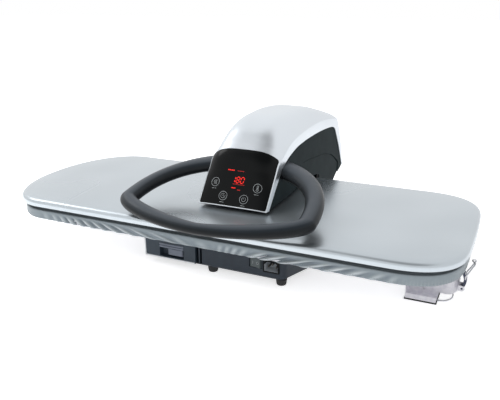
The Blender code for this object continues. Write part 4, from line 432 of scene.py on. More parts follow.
def makeFloor():
    shape = bmesh.new()
    bmesh.ops.create_grid(shape, x_segments=1, y_segments=1, size=light["floorSize"])
    floor = newObject("studioFloor", shape)
    paper = newMaterial("paperSweep", light["floorColour"], 0.9, more={"Emission Color": srgb("#FFFFFF")})
    tree, shader, _ = innards(paper)
    ray = addNode(tree, "ShaderNodeLightPath").outputs
    seen = addNode(tree, "ShaderNodeMath", {0: ray["Is Camera Ray"], 1: ray["Is Glossy Ray"]},
                   operation="MAXIMUM")
    addNode(tree, "ShaderNodeMath", {0: seen}, shader["Emission Strength"], operation="MULTIPLY",
            in_1=light["floorGlow"])
    floor.data.materials.append(paper)


def makeRoom():
    world = bpy.data.worlds.new("paleStudio")
    bpy.context.scene.world = world
    world.use_nodes = True
    tree = world.node_tree
    backdrop = tree.nodes["Background"].inputs
    backdrop["Color"].default_value = srgb("#FFFFFF")
    ray = addNode(tree, "ShaderNodeLightPath").outputs
    sky = addNode(tree, "ShaderNodeTexCoord")
    ahead = addNode(tree, "ShaderNodeVectorMath", {0: sky.outputs["Generated"]}, operation="DOT_PRODUCT",
                    in_1=Vector(light["darkSide"]).normalized())
    room = addNode(tree, "ShaderNodeMapRange", {"Value": ahead.outputs["Value"]},
                   in_From_Min=light["darkFrom"], in_From_Max=light["darkFull"],
                   in_To_Min=1.0, in_To_Max=light["shade"], interpolation_type="SMOOTHSTEP")
    level = addNode(tree, "ShaderNodeMapRange", {"Value": ray["Is Glossy Ray"], "To Max": room},
                    in_To_Min=light["world"])
    addNode(tree, "ShaderNodeMath", {0: level, 1: ray["Is Camera Ray"]}, backdrop["Strength"],
            operation="MAXIMUM")
    for name in ("key", "fill", "glint"):
        lamp = bpy.data.lights.new(name, "AREA")
        lamp.size = light[name + "Size"]
        lamp.energy = light[name + "Power"]
        item = newObject(name + "Lamp", lamp)
        item.location = light[name + "Place"]
        item.visible_glossy = name == "glint"
        aim = middle + Vector((0, 0, light["aim"])) - item.location
        item.rotation_euler = aim.to_track_quat("-Z", "Y").to_euler()


def makeView():
    view = bpy.data.cameras.new("view")
    view.lens = camera["lens"]
    view.sensor_width = camera["sensor"]
    viewer = newObject("viewer", view)
    viewer.location = Vector(camera["place"]) + middle
    viewer.rotation_euler = (math.radians(90 - camera["dip"]), 0, math.radians(camera["turn"]))
    bpy.context.scene.camera = viewer
    bpy.context.scene.view_settings.view_transform = "Standard"


makeFloor()
makeRoom()
makeView()
print("stage, lamps and camera set")


# Curves that several pieces share

def held(value):
    return min(max(value, 0.0), 1.0)


def splineValues(knots, rows, at):
    # Smooth values at a place along unevenly spaced knots, one value for each column
    index = 0
    while index < len(knots) - 2 and at > knots[index + 1]:
        index += 1
    step = knots[index + 1] - knots[index]
    share = (at - knots[index]) / step

    def slope(place):
        low, high = max(place - 1, 0), min(place + 1, len(knots) - 1)
        if low == place or high == place:
            return [(b - a) / (knots[high] - knots[low]) for a, b in zip(rows[low], rows[high])]
        before, after = knots[place] - knots[low], knots[high] - knots[place]
        return [((c - b) / after * before + (b - a) / before * after) / (before + after)
                for a, b, c in zip(rows[low], rows[place], rows[high])]

    first, second = slope(index), slope(index + 1)
    square, cube = share ** 2, share ** 3
    return [(2 * cube - 3 * square + 1) * a + (cube - 2 * square + share) * step * m
            + (3 * square - 2 * cube) * b + (cube - square) * step * n
            for a, b, m, n in zip(rows[index], rows[index + 1], first, second)]


def chordKnots(points):
    knots = [0.0]
    for low, high in zip(points, points[1:]):
        knots.append(knots[-1] + math.dist(low, high))
    return knots


def smoothPath(points, pitch):
    knots = chordKnots(points)
    count = max(2, round(knots[-1] / pitch))
    return [splineValues(knots, points, knots[-1] * step / count) for step in range(count + 1)]


def spaced(start, end, pitch):
    count = max(1, round((end - start) / pitch))
    return [start + (end - start) * step / count for step in range(count + 1)]


def arcPath(radius, start, end, steps, centre=(0.0, 0.0)):
    turns = [math.radians(start + (end - start) * step / steps) for step in range(steps + 1)]
    return [(centre[0] + radius * math.cos(turn), centre[1] + radius * math.sin(turn)) for turn in turns]


def tube(points, radius, sides=14):
    points = [Vector(point) for point in points]
    rings = []
    side = None
    for index, point in enumerate(points):
        ahead = (points[min(index + 1, len(points) - 1)] - points[max(index - 1, 0)]).normalized()
        side = side or ahead.orthogonal()
        side = (side - ahead * side.dot(ahead)).normalized()
        over = ahead.cross(side)
        rings.append([point + side * a + over * b for a, b in arcPath(radius, 0, 360, sides)[:-1]])
    return lofted(rings)


board = {
    "length": 0.900, "width": 0.378,      # the heated plate's plan
    "noseLength": 0.118, "nosePower": 2.1, "corner": 0.113, "cornerPower": 2.75,
    "endBulge": 0.007, "bulgeFade": 0.25, "shortfall": 0.005,
    "endSteps": 4, "sideSteps": 60, "cornerSteps": 26, "noseSteps": 40,
}


def squareTurn(step, steps, power):
    # A superellipse's sine and cosine, with its points evenly spaced along the squarish corner
    rise, fall = (step / steps) ** (power / 2), (1 - step / steps) ** (power / 2)
    angle = math.pi / 2 * rise / (rise + fall)
    return math.sin(angle) ** (2 / power), max(math.cos(angle), 0.0) ** (2 / power)


def boardOutline(inset, shortfall=0.0, steps=board):
    halfWidth = board["width"] / 2 - inset
    right = board["length"] / 2 - inset
    nose = board["noseLength"] - inset - shortfall
    noseStart = board["noseLength"] - board["length"] / 2
    corner = board["corner"] - inset
    half = [(right, (halfWidth - corner) * step / board["endSteps"]) for step in range(board["endSteps"])]
    for step in range(steps["cornerSteps"] + 1):
        sine, cosine = squareTurn(step, steps["cornerSteps"], board["cornerPower"])
        half.append((right - corner + corner * cosine, halfWidth - corner + corner * sine))
    for step in range(1, steps["sideSteps"]):
        half.append((right - corner + (noseStart - right + corner) * step / steps["sideSteps"], halfWidth))
    for step in range(steps["noseSteps"]):
        sine, cosine = squareTurn(step, steps["noseSteps"], board["nosePower"])
        half.append((noseStart - nose * sine, halfWidth * cosine))
    half.append((noseStart - nose, 0.0))
    bulged = [(x - board["endBulge"] * (y / halfWidth) ** 2 * held(x / board["bulgeFade"]), y)
              for x, y in half]
    return bulged + [(x, -y) for x, y in reversed(bulged[1:-1])]


def boardRings(profile, shortfall=0.0):
    return [[(x, y, z) for x, y in boardOutline(inset, shortfall)] for inset, z in profile]


def outwardAlong(outline):
    outward = []
    for index, before in enumerate(outline[-1:] + outline[:-1]):
        after = outline[(index + 1) % len(outline)]
        outward.append(Vector((after[1] - before[1], before[0] - after[0], 0)).normalized())
    return outward


# Heated plate: a pressed shell with a rounded rim and a fine groove where its flat top starts
plate = {
    "foot": shellLow.z, "top": shellHigh.z, "sheet": 0.0014,
    "rim": 0.012, "crown": 0.005, "crownInset": 0.100,
    "pitch": 0.0011, "fineInset": 0.02, "coarsePitch": 0.006,
    "grooveAt": 0.0105, "grooveHalf": 0.0016, "grooveDepth": 0.00002,
}
rimShares = [(0.0, 0.0, 0.0), (0.0, 0.38, 0.0), (0.04, 0.62, 0.0), (0.17, 0.83, 0.0), (0.42, 1.0, 0.0),
             (0.9, 1.0, 0.28), (2.2, 1.0, 0.55)]
sole = {"inset": 0.010, "edge": 0.003, "lip": 0.0014, "seatGap": 0.0003, "overrun": 0.002}
steam = {"rows": 3, "columns": 9, "sideMargin": 0.081, "endMargin": 0.099, "radius": 0.0022, "sides": 20}


def makePlateShell():
    rim, crown, crownInset, sheet = plate["rim"], plate["crown"], plate["crownInset"], plate["sheet"]
    foot, top = plate["foot"], plate["top"]
    knots = [(rim * a, foot + rim * b + crown * c) for a, b, c in rimShares]
    knots += [(crownInset * 0.6, top - crown * 0.12), (crownInset, top)]
    outside = []
    for inset, z in [knots[0]] + smoothPath(knots[1:], plate["pitch"]):
        off = min(abs(inset - plate["grooveAt"]) / plate["grooveHalf"], 1.0)
        dip = plate["grooveDepth"] * (0.5 + 0.5 * math.cos(math.pi * off))
        if inset < plate["fineInset"] or inset - outside[-1][0] > plate["coarsePitch"]:
            outside.append((inset, z - dip))
    outside.append((crownInset, top))
    inside = [(crownInset, top - sheet), (rim * 2.2, top - crown * 0.45 - sheet),
              (rim * 0.6, foot + rim - sheet), (rim * 0.3, foot + rim * 0.87 - sheet),
              (sheet, foot + rim * 0.4), (sheet, foot)]
    shape = lofted(boardRings(inside + outside))
    addPiece("plateShellSkin", shape, plateSilver, "plate", ["plate_shell"], 40)


def steamHoleShape(low, high):
    columnPitch = (board["length"] - 2 * steam["endMargin"]) / steam["columns"]
    rowPitch = (board["width"] - 2 * steam["sideMargin"]) / steam["rows"]
    shape = bmesh.new()
    for row in range(steam["rows"]):
        for column in range(steam["columns"]):
            x = columnPitch * (column - (steam["columns"] - 1) / 2 + 0.5 * (row % 2) - 0.25)
            y = rowPitch * (row - (steam["rows"] - 1) / 2)
            place = Matrix.Translation(middle + Vector((x, y, (low + high) / 2)))
            bmesh.ops.create_cone(shape, cap_ends=True, segments=steam["sides"], radius1=steam["radius"],
                                  radius2=steam["radius"], depth=high - low, matrix=place)
    return shape


def makeSolePlate():
    low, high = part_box("sole_plate")
    inset, edge, foot = sole["inset"], sole["edge"], plate["foot"]
    seat, lip = plate["sheet"] + sole["seatGap"], foot + sole["lip"]
    rings = [(inset + edge, low.z), (inset + edge * 0.3, low.z + edge * 0.35), (inset, low.z + edge),
             (seat, foot), (seat, lip), (inset, lip), (inset + edge, high.z)]
    casting = addPiece("solePlateCasting", lofted(boardRings(rings)), nonStickGapShade, "plate", ["sole_plate"], 40)
    subtract(casting, steamHoleShape(low.z - sole["overrun"], high.z + sole["overrun"]))


makePlateShell()
makeSolePlate()
print("heated plate made")


# Felt pad and the stretched cover with its elastic hem
cover = {
    "inset": 0.0045, "thickness": 0.0008, "padInset": 0.0072, "padEdge": 0.0042, "crown": 0.0016,
    "padBelly": 0.0004, "padTuck": 0.002, "padPitch": 0.0012, "pitch": 0.0010, "shoulder": 0.0006,
    "drop": 0.0222, "hemTurn": 0.010, "topInsets": (0.100, 0.070, 0.045, 0.028),
    "gatherPitch": 0.0046, "gatherDepth": 0.0010, "seed": 7, "foldRise": 1.35, "fullFold": 0.0024,
    "foldReach": 0.375, "cornerFrom": 0.34, "fade": 0.03, "noseGather": 0.35, "far": 2.0,
    "gripFrom": 0.22, "gripOver": 0.4, "underFrom": 0.8, "underOver": 0.006, "underLoss": 0.75,
    "troughDepth": 0.35, "troughAt": 1.7, "troughSharp": 2, "foldEnd": 4,
    "sideSteps": 290, "cornerSteps": 96, "noseSteps": 90,
}
hemShares = [(0.0, 0.45), (0.05, 0.18), (0.22, 0.05), (0.55, 0.09), (1.0, 0.14)]
# What the skirt's cloth does along the front: where each fold is, how far it slants on the
# way down, its half width and its height, in millimetres from the board's middle
frontFolds = [
    (-318, 10, 5, 0.7), (-297, 14, 4, 1.2), (-279, 18, 4, 1.7), (-261, 22, 4.5, 2.2), (-243, 27, 4.5, 2.4),
    (-222, 33, 5, 2.6), (-199, 42, 5, 2.6), (-174, 52, 6, 2.4), (-146, 64, 7, 1.9), (-110, 76, 8, 1.5),
    (-68, 80, 9, 1.0), (-25, 40, 9, 0.7), (22, 12, 9, 0.6), (60, -6, 4, 0.9), (74, -8, 4, 1.0),
    (88, -12, 4.5, 1.2), (104, -18, 5, 1.0), (134, -42, 7, 1.7), (166, -62, 8, 2.4), (205, -76, 8, 2.8),
    (240, -70, 7, 2.2), (270, -58, 7, 2.4), (300, -46, 7, 1.6), (330, -32, 6, 1.2), (352, -18, 5, 0.9)]
# The back's folds are drawn by chance between these bounds, in metres
backFolds = {"reach": 0.36, "pitch": (0.016, 0.034), "slant": (-0.05, 0.05), "half": (0.0045, 0.0085),
             "height": (0.0006, 0.0024)}


def makePad():
    low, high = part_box("board_pad")
    inset, edge, crown = cover["padInset"], cover["padEdge"], cover["crown"]
    knots = [(inset, low.z), (inset - cover["padBelly"], (low.z + high.z) / 2 - edge / 2),
             (inset + edge / 3, high.z - crown - edge / 3), (inset + edge, high.z - crown / 2),
             (inset + 3 * edge, high.z)]
    profile = [(inset + cover["padTuck"], low.z)] + smoothPath(knots, cover["padPitch"])
    shape = lofted(boardRings(profile, board["shortfall"]))
    pad = addPiece("feltPad", shape, felt, "base", ["board_pad"], 50)


def skirtFolds():
    folds = [tuple(size * millimetre for size in fold) for fold in frontFolds]
    chance = random.Random(cover["seed"])
    x = -backFolds["reach"]
    while x < backFolds["reach"]:
        x += chance.uniform(*backFolds["pitch"])
        sizes = [chance.uniform(*backFolds[key]) for key in ("slant", "half", "height")]
        folds.append((cover["far"] - x, *sizes))
    return folds


def foldLift(x, y, drop, folds):
    # Folds are placed by x on the front, by a far offset less x on the back. Drop is 0 to 1 down.
    along = x if y < 0 else cover["far"] - x
    lift = 0.0
    for place, slant, half, height in folds:
        off = (along - place - slant * (drop - 0.5)) / half
        if abs(off) < cover["foldEnd"]:
            trough = math.exp(-(abs(off) - cover["troughAt"]) ** 2 * cover["troughSharp"])
            lift += height * (math.exp(-off * off) - cover["troughDepth"] * trough)
    return cover["foldRise"] * lift * held((cover["foldReach"] - abs(x)) / cover["fade"])


def skirtProfile(top):
    crown, edge, inset, padInset = cover["crown"], cover["padEdge"], cover["inset"], cover["padInset"]
    foot = top - cover["drop"]
    knots = [(padInset + 3 * edge, top), (padInset + edge, top - crown / 2),
             (padInset + edge / 3, top - crown - edge / 4),
             (inset + cover["shoulder"], top - crown - edge * 0.6),
             (inset, top - crown - edge - cover["pitch"]), (inset, (foot + top) / 2)]
    knots += [(inset + cover["hemTurn"] * a, foot + cover["hemTurn"] * b) for a, b in hemShares]
    return smoothPath(knots, cover["pitch"])


def clothArea(outline):
    pairs = zip(outline, outline[1:] + outline[:1])
    return abs(sum(x * nextY - nextX * y for (x, y), (nextX, nextY) in pairs)) / 2


def makeCover():
    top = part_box("board_cover")[1].z
    skirt = skirtProfile(top)
    edgeInset = skirt[0][0]
    folds = skirtFolds()
    reference = boardOutline(edgeInset, board["shortfall"], cover)
    outward = outwardAlong(reference)
    gatherPhase = chordKnots(reference)
    shape = bmesh.new()
    uvLayer = shape.loops.layers.uv.new("clothMetres")
    shadeLayer = shape.verts.layers.float.new("foldShade")
    rows, flatOf = [], {}
    run = 0.0
    previous = skirt[0]
    for inset, z in [(inset, top) for inset in cover["topInsets"]] + skirt:
        onTop = inset > edgeInset + 0.0001
        if not onTop:
            run += math.dist(previous, (inset, z))
            previous = (inset, z)
        drop = held((top - z) / cover["drop"])
        grip = held((drop - cover["gripFrom"]) / cover["gripOver"])
        under = held((inset - cover["inset"]) / cover["underOver"]) if drop > cover["underFrom"] else 0.0
        grip = grip * grip * (3 - 2 * grip) * (1 - cover["underLoss"] * under)
        row = []
        for index, (x, y) in enumerate(boardOutline(inset, board["shortfall"], cover)):
            corner = held((abs(x) - cover["cornerFrom"]) / cover["fade"])
            corner *= 1.0 if x > 0 else cover["noseGather"]
            gather = 0.5 + 0.5 * math.sin(2 * math.pi * gatherPhase[index] / cover["gatherPitch"])
            lift = grip * (foldLift(x, y, drop, folds) + cover["gatherDepth"] * corner * gather * drop ** 3)
            vert = shape.verts.new(Vector((x, y, z)) + outward[index] * lift + middle)
            vert[shadeLayer] = lift / (cover["foldRise"] * cover["fullFold"])
            row.append(vert)
            laidFlat = Vector((*reference[index], 0)) + outward[index] * run
            flatOf[vert] = (x, y) if onTop else tuple(laidFlat[:2])
        rows.append(row)
    shape.faces.new(rows[0])
    skinned(shape, rows)
    for face in shape.faces:
        for loop in face.loops:
            loop[uvLayer].uv = flatOf[loop.vert]
    area = clothArea([flatOf[vert] for vert in rows[-1]])
    bmesh.ops.recalc_face_normals(shape, faces=shape.faces)
    if shape.faces[0].normal.z < 0:
        bmesh.ops.reverse_faces(shape, faces=shape.faces)
    cloth = addPiece("stretchedCover", shape, coverCloth, "base", ["board_cover"], 70)
    wall = cloth.modifiers.new("cloth", "SOLIDIFY")
    wall.thickness = cover["thickness"]
    wall.offset = -1.0
    baked(cloth)
    cloth.data.shade_smooth()


makePad()
makeCover()
print("felt pad and cover made")


# Arm: the silver cover's side crease, crown and side band, as shares of its run and rise
arm = {
    "half": armHalf, "wall": 0.0025, "frontSetback": 0.0915, "frontLift": 0.0057, "pastHinge": 0.0504,
    "rise": 0.1111, "crown": 0.040, "frontPower": 3.7, "topPower": 3.9, "probe": 0.0005,
    "ringPitch": 0.0035, "finePitch": 0.0010, "frontPitch": 0.0011, "edgeStep": 0.00015,
    "acrossSteps": 26, "fillet": 0.0013, "frameHalf": 0.0545, "sharp": 32,
    "trim": 0.0019, "recess": 0.0025, "frontTrim": 0.0016, "seatRun": 0.012, "panelCorner": 0.0035,
    "bendSteps": 6, "glass": 0.0020, "seam": 0.0003,
    # how far a ring's crease is pulled in and eased, and how wide its two faces are
    "bendPull": 0.55, "bendEase": 0.18, "trimShare": 0.3, "outerShare": 0.998, "innerShare": 0.985,
}
creaseShares = [
    (0.000, 0.000), (0.0045, 0.024), (0.045, 0.240), (0.092, 0.480), (0.137, 0.690), (0.141, 0.697),
    (0.168, 0.742), (0.214, 0.836), (0.273, 0.914), (0.387, 0.974), (0.512, 1.000), (0.649, 0.990),
    (0.748, 0.950), (0.820, 0.905), (0.855, 0.882), (0.870, 0.862), (0.880, 0.820), (0.898, 0.721),
    (0.930, 0.480), (0.959, 0.243), (0.982, 0.000), (1.000, -0.237)]
crownShares = [0.08, 0.09, 0.20, 0.36, 0.50, 0.52, 0.64, 0.86, 0.97, 0.95, 0.86, 0.68, 0.50,
               0.40, 0.34, 0.32, 0.30, 0.28, 0.23, 0.17, 0.11, 0.05]
bandShares = [
    (0.028, -0.010), (0.032, 0.009), (0.066, 0.165), (0.104, 0.335), (0.148, 0.500), (0.153, 0.516),
    (0.182, 0.600), (0.224, 0.678), (0.292, 0.752), (0.393, 0.800), (0.512, 0.815), (0.630, 0.808),
    (0.712, 0.790), (0.778, 0.764), (0.806, 0.744), (0.826, 0.715), (0.842, 0.675), (0.862, 0.570),
    (0.893, 0.400), (0.922, 0.230), (0.955, 0.000), (0.988, -0.237)]
partingShares = [
    (0.300, 0.255), (0.351, 0.381), (0.440, 0.400), (0.527, 0.370), (0.615, 0.330),
    (0.700, 0.288), (0.770, 0.215), (0.829, 0.131), (0.880, 0.020), (0.930, -0.120)]
heelShares = [(0.979, -0.260), (0.9135, -0.346), (0.866, -0.457), (0.819, -0.519), (0.682, -0.519),
              (0.645, -0.339), (0.6386, -0.080), (0.618, -0.038), (0.5995, -0.030), (0.555, -0.0108)]
bossShares = [(0.300, 0.420), (0.560, 0.450), (0.760, 0.330)]

boardFront = -board["width"] / 2
armFrontY = arm["frontSetback"] + boardFront
armFrontZ = plate["top"] + arm["frontLift"]
armRun = hinge.y + arm["pastHinge"] - armFrontY


def armPlaces(shares):
    return [(armFrontY + armRun * run, armFrontZ + arm["rise"] * rise) for run, rise in shares]


armKnots = chordKnots(armPlaces(creaseShares))
armRows = [[*crease, crown, *band]
           for crease, crown, band in zip(armPlaces(creaseShares), crownShares, armPlaces(bandShares))]
panelStart, panelEnd, shoulder = arm["frontTrim"], armKnots[4], armKnots[5]    # the glass ends at a knot


def armAt(at):
    # Crease, its outward normal, the crown's height and power, and the band's foot at a place along
    y, z, crown, bandY, bandZ = splineValues(armKnots, armRows, at)
    low = splineValues(armKnots, armRows, max(at - arm["probe"], 0.0))
    high = splineValues(armKnots, armRows, min(at + arm["probe"], armKnots[-1]))
    normal = Vector((0, low[1] - high[1], high[0] - low[0])).normalized()
    power = arm["frontPower"] + (arm["topPower"] - arm["frontPower"]) * min(1.0, 2 * at / armKnots[-1])
    return Vector((0, y, z)), normal, arm["crown"] * crown, power, Vector((0, bandY, bandZ))


def armSurface(station, across, depth):
    crease, normal, crown, power, _ = station
    place = crease + normal * (crown * (1 - min(abs(across), 1.0) ** power) - depth)
    return Vector((armX + arm["half"] * across, place.y, place.z))


def crossPlaces(half):
    steps = arm["acrossSteps"]
    return [half * math.sin(math.pi / 2 * step / steps) for step in range(-steps, steps + 1)]


def panelHalf(at, seam=0.0):
    # Half width of the glass's seat, which rounds off at its four corners
    radius = arm["panelCorner"]
    off = max(radius - min(at - panelStart - seam, panelEnd - seam - at), 0.0)
    shrink = radius - math.sqrt(max(radius ** 2 - off ** 2, 0.0))
    return 1 - (arm["trim"] + seam + shrink) / arm["half"]


def coverRing(at, sunk):
    station = armAt(at)
    crease, normal, _, _, band = station
    half, wall, fillet = arm["half"], arm["wall"], arm["fillet"]
    rim = panelHalf(at) if sunk else 1 - (arm["trim"] - arm["trimShare"] * (arm["trim"] - fillet)) / half
    outer = []
    for side in (-1, 1):
        foot, corner = (Vector((armX + side * half, place.y, place.z)) for place in (band, crease))
        low = corner + (foot - corner).normalized() * fillet
        high = armSurface(station, side * (1 - fillet / half), 0.0)
        bend = [a.lerp(corner, arm["bendPull"]).lerp(corner.lerp(b, arm["bendEase"]), 0.5)
                for a, b in ((low, high), (high, low))]
        outer.append([foot, low, *bend, high, armSurface(station, side * rim, 0.0)])
    across = crossPlaces(rim if sunk else rim * arm["outerShare"])
    # The inner face lies deeper all along the glass's seat and comes back gently behind it
    share = at / panelStart if at < panelStart else 1 - held((at - panelEnd) / arm["seatRun"])
    inside = wall + arm["recess"] * share
    walls = [[Vector((armX + side * (half - wall), place.y, place.z))
              for place in (band, crease - normal * inside)] for side in (1, -1)]
    ring = outer[0] + [armSurface(station, place, arm["recess"] if sunk else 0.0) for place in across]
    ring += outer[1][::-1] + walls[0]
    ring += [armSurface(station, place * (1 - wall / half) * arm["innerShare"], inside)
             for place in reversed(across)]
    return ring + walls[1][::-1]


def panelPlaces(seam=0.0):
    # Places along the glass, close together at its rounded corners
    start, end, radius = panelStart + seam, panelEnd - seam, arm["panelCorner"]
    turns = [math.pi / 2 * step / arm["bendSteps"] for step in range(arm["bendSteps"])]
    bend = [radius * (1 - math.cos(turn)) for turn in turns]
    inner = spaced(start + radius, end - radius, arm["ringPitch"])
    return [start + off for off in bend] + inner + [end - off for off in reversed(bend)]


def makeArmCover():
    step = arm["edgeStep"]
    places = [(at, False) for at in spaced(0.0, panelStart - step, arm["frontPitch"])]
    places += [(at, True) for at in panelPlaces()]
    places += [(at, False) for at in spaced(panelEnd + step, shoulder, arm["finePitch"])]
    places += [(at, False) for at in spaced(shoulder, armKnots[-1], arm["ringPitch"])[1:]]
    rings = [coverRing(at, sunk) for at, sunk in places]
    skin = addPiece("armCoverSkin", lofted(rings), silverLacquer, "head", ["arm_cover"], arm["sharp"])
    subtract(skin, handleHole())
    smoothed(skin, arm["sharp"])


def makeLens():
    rings = []
    for at in panelPlaces(arm["seam"]):
        station, across = armAt(at), crossPlaces(panelHalf(at, arm["seam"]))
        rings.append([armSurface(station, place, 0.0) for place in across]
                     + [armSurface(station, place, arm["glass"]) for place in reversed(across)])
    addPiece("panelGlassLens", lofted(rings), panelGlass, "head", ["control_panel"], 30)


# Handle: one loop, rounder at the front, wider and flatter at its sides
handle = {
    "half": 0.1840, "setback": 0.0190, "front": 0.0690, "back": 0.2020,
    "sideBar": 0.0325, "frontBar": 0.0220, "backBar": 0.0520,
    "outerPowers": (1.80, 2.10), "innerPowers": (1.32, 2.30),
    "lift": 0.0085, "slope": 0.220, "sideRise": 0.0125, "frontRise": 0.0092,
    "turnStart": -76, "steps": 220, "sides": 40, "holeSteps": 90, "holeSides": 20, "holeGap": 0.0006,
    "throughHalf": 0.0548, "roomLow": -0.3, "roomHigh": 0.5, "sharp": 45,
}
sectionShares = [
    (1.0, 0.0), (0.86, 0.50), (0.60, 0.80), (0.00, 1.0), (-0.56, 0.84), (-0.88, 0.44),
    (-1.0, 0.0), (-0.84, -0.55), (-0.42, -0.92), (0.10, -1.0), (0.58, -0.84), (0.88, -0.44)]
handleY = handle["setback"] + boardFront


def handleSection(sides):
    around = sectionShares[-2:] + sectionShares + sectionShares[:3]
    knots = chordKnots(around)
    start, end = knots[2], knots[2 + len(sectionShares)]
    return [splineValues(knots, around, start + (end - start) * step / sides) for step in range(sides)]


def handleEdge(turn, half, front, back, powers):
    ahead = math.sin(turn) >= 0
    power = 2 / (powers[0] if ahead else powers[1])
    across, along = (math.copysign(abs(value) ** power, value) for value in (math.cos(turn), math.sin(turn)))
    y = handleY - (front if ahead else back) * along
    rise = handle["slope"] * (y - (handleY - handle["front"]))
    return Vector((armX + half * across, y, plate["top"] + handle["lift"] + rise))


def handleRings(growth, steps, sides):
    over = Vector((0, -handle["slope"], 1)).normalized()
    start, end = math.radians(handle["turnStart"]), math.radians(180 - handle["turnStart"])
    half, front, back = handle["half"], handle["front"], handle["back"]
    section = handleSection(sides)
    rings = []
    for step in range(steps + 1):
        turn = start + (end - start) * step / steps
        outer = handleEdge(turn, half + growth, front + growth, back + growth, handle["outerPowers"])
        inner = handleEdge(turn, half - handle["sideBar"] - growth, front - handle["frontBar"] - growth,
                           back - handle["backBar"] - growth, handle["innerPowers"])
        frontness = max(math.sin(turn), 0.0) ** 2
        rise = growth + handle["sideRise"] + (handle["frontRise"] - handle["sideRise"]) * frontness
        centre, side = (outer + inner) / 2, (outer - inner) / 2
        rings.append([centre + side * a + over * rise * b for a, b in section])
    return rings


def handleHole():
    return lofted(handleRings(handle["holeGap"], handle["holeSteps"], handle["holeSides"]))


def makeHandle():
    shape = lofted(handleRings(0.0, handle["steps"], handle["sides"]))
    loop = addPiece("handleLoop", shape, gripSkin, "head", ["handle"], handle["sharp"])
    half, low, high = handle["throughHalf"], handle["roomLow"], handle["roomHigh"]
    subtract(loop, slab((armX - half, handleY, low), (armX + half, hinge.y, high)))
    smoothed(loop, handle["sharp"])


sidePanel = {
    "inset": 0.0015, "wall": 0.0032, "step": 0.0018, "seam": 0.0016, "seamDepth": 0.0027, "gap": 0.0006,
    "footLift": 0.0045, "footSet": 0.0003, "edge": 0.0006, "boss": 0.006, "bossSides": 24, "bossGap": 0.0003,
    "pitch": 0.0035, "partingPitch": 0.004, "deep": -0.08, "overrun": 0.004, "bend": 0.006, "bendSteps": 4,
    "sharp": 35,
}


def softCorners(points, reach):
    # Each inner corner of an open line becomes a short bend
    bent = [points[0]]
    for before, corner, after in zip(points, points[1:], points[2:]):
        before, corner, after = Vector(before), Vector(corner), Vector(after)
        low, high = (corner.lerp(end, min(reach / (end - corner).length, 0.45)) for end in (before, after))
        for step in range(sidePanel["bendSteps"] + 1):
            share = step / sidePanel["bendSteps"]
            bent.append(tuple(low.lerp(corner, share).lerp(corner.lerp(high, share), share)))
    return bent + [points[-1]]


def sideOutline():
    footZ = plate["top"] + sidePanel["footLift"]
    upper = []
    for at in spaced(0.0, armKnots[-1], sidePanel["pitch"]):
        _, normal, _, _, band = armAt(at)
        upper.append(tuple(band - normal * sidePanel["gap"])[1:])
    while upper[1][1] < footZ:
        upper.pop(0)
    share = (footZ - upper[0][1]) / (upper[1][1] - upper[0][1])
    front = (upper[0][0] + (upper[1][0] - upper[0][0]) * share + sidePanel["footSet"], footZ)
    return [front] + upper[1:] + softCorners(armPlaces(heelShares), sidePanel["bend"])


def makeSides():
    outline = sideOutline()
    parting = smoothPath(armPlaces(partingShares), sidePanel["partingPitch"])
    lower = parting + [(parting[-1][0], sidePanel["deep"]), (parting[0][0], sidePanel["deep"])]
    seam = parting + [(y, z - sidePanel["seam"]) for y, z in reversed(parting)]
    wall = sidePanel["wall"]
    for name, side in (("left", -1), ("right", 1)):
        outer = armX + side * (arm["half"] - sidePanel["inset"])
        inner, beyond = outer - side * wall, outer + side * sidePanel["overrun"]
        frameSide = armX + side * (arm["frameHalf"] + sidePanel["bossGap"])
        panel = addPiece("armSide_" + name, extruded(outline, outer, inner), anthraciteAbs, "head",
                         ["arm_side_" + name], sidePanel["sharp"])
        for place in armPlaces(bossShares):
            ring = arcPath(sidePanel["boss"], 0, 360, sidePanel["bossSides"], place)[:-1]
            subtract(panel, extruded(ring, frameSide, inner + side * wall / 2), "UNION")
        subtract(panel, extruded(lower, outer - side * sidePanel["step"], beyond))
        subtract(panel, extruded(seam, outer - side * sidePanel["seamDepth"], beyond))
        subtract(panel, handleHole())
        smoothed(panel, sidePanel["sharp"])
        bevelled(panel, sidePanel["edge"], 2, 40)


makeArmCover()
makeLens()
makeHandle()
makeSides()
print("arm cover, glass, handle and side panels made")


# Marks on the glass: four ringed touch keys, a lit temperature and its dashes
marks = {
    "low": 0.00004, "high": 0.00014, "line": 0.00062, "ring": 0.0080, "bar": 0.0080, "barDrop": 0.0118,
    "digits": "180", "digitWidth": 0.0060, "digitHeight": 0.0106, "digitPitch": 0.0087,
    "digitLine": 0.0015, "slant": 0.14, "digitsAt": (0.035, 0.0500), "ringSteps": 48, "fill": 0.10,
}
keyPlaces = {"steam": (-0.622, 0.0424), "timer": (-0.303, 0.0185),
             "power": (0.312, 0.0167), "heat": (0.627, 0.0400)}
segmentsOf = {"1": "bc", "8": "abcdefg", "0": "abcdef"}
segmentEnds = {"a": (0, 1, 1, 1), "b": (1, 1, 1, 0.5), "c": (1, 0.5, 1, 0), "d": (0, 0, 1, 0),
               "e": (0, 0.5, 0, 0), "f": (0, 1, 0, 0.5), "g": (0, 0.5, 1, 0.5)}
# Each row of dashes: start and end as shares of the half width, height, width, count, and lit or not
dashes = [(-0.319, -0.117, 0.0665, 0.0017, 4, True), (-0.034, 0.161, 0.0660, 0.0012, 7, False),
          (-0.097, 0.248, 0.0420, 0.0011, 7, False), (-0.112, 0.012, 0.0350, 0.0017, 4, True),
          (0.068, 0.158, 0.0320, 0.0017, 4, False)]
thermometer = {"half": 1.15, "foot": -1.3, "top": 3.4, "dome": 3.7, "bulb": 2.1, "bulbAt": -3.0}


def onGlass(x, y, lift):
    return armSurface(armAt(y), x / armHalf, -lift)


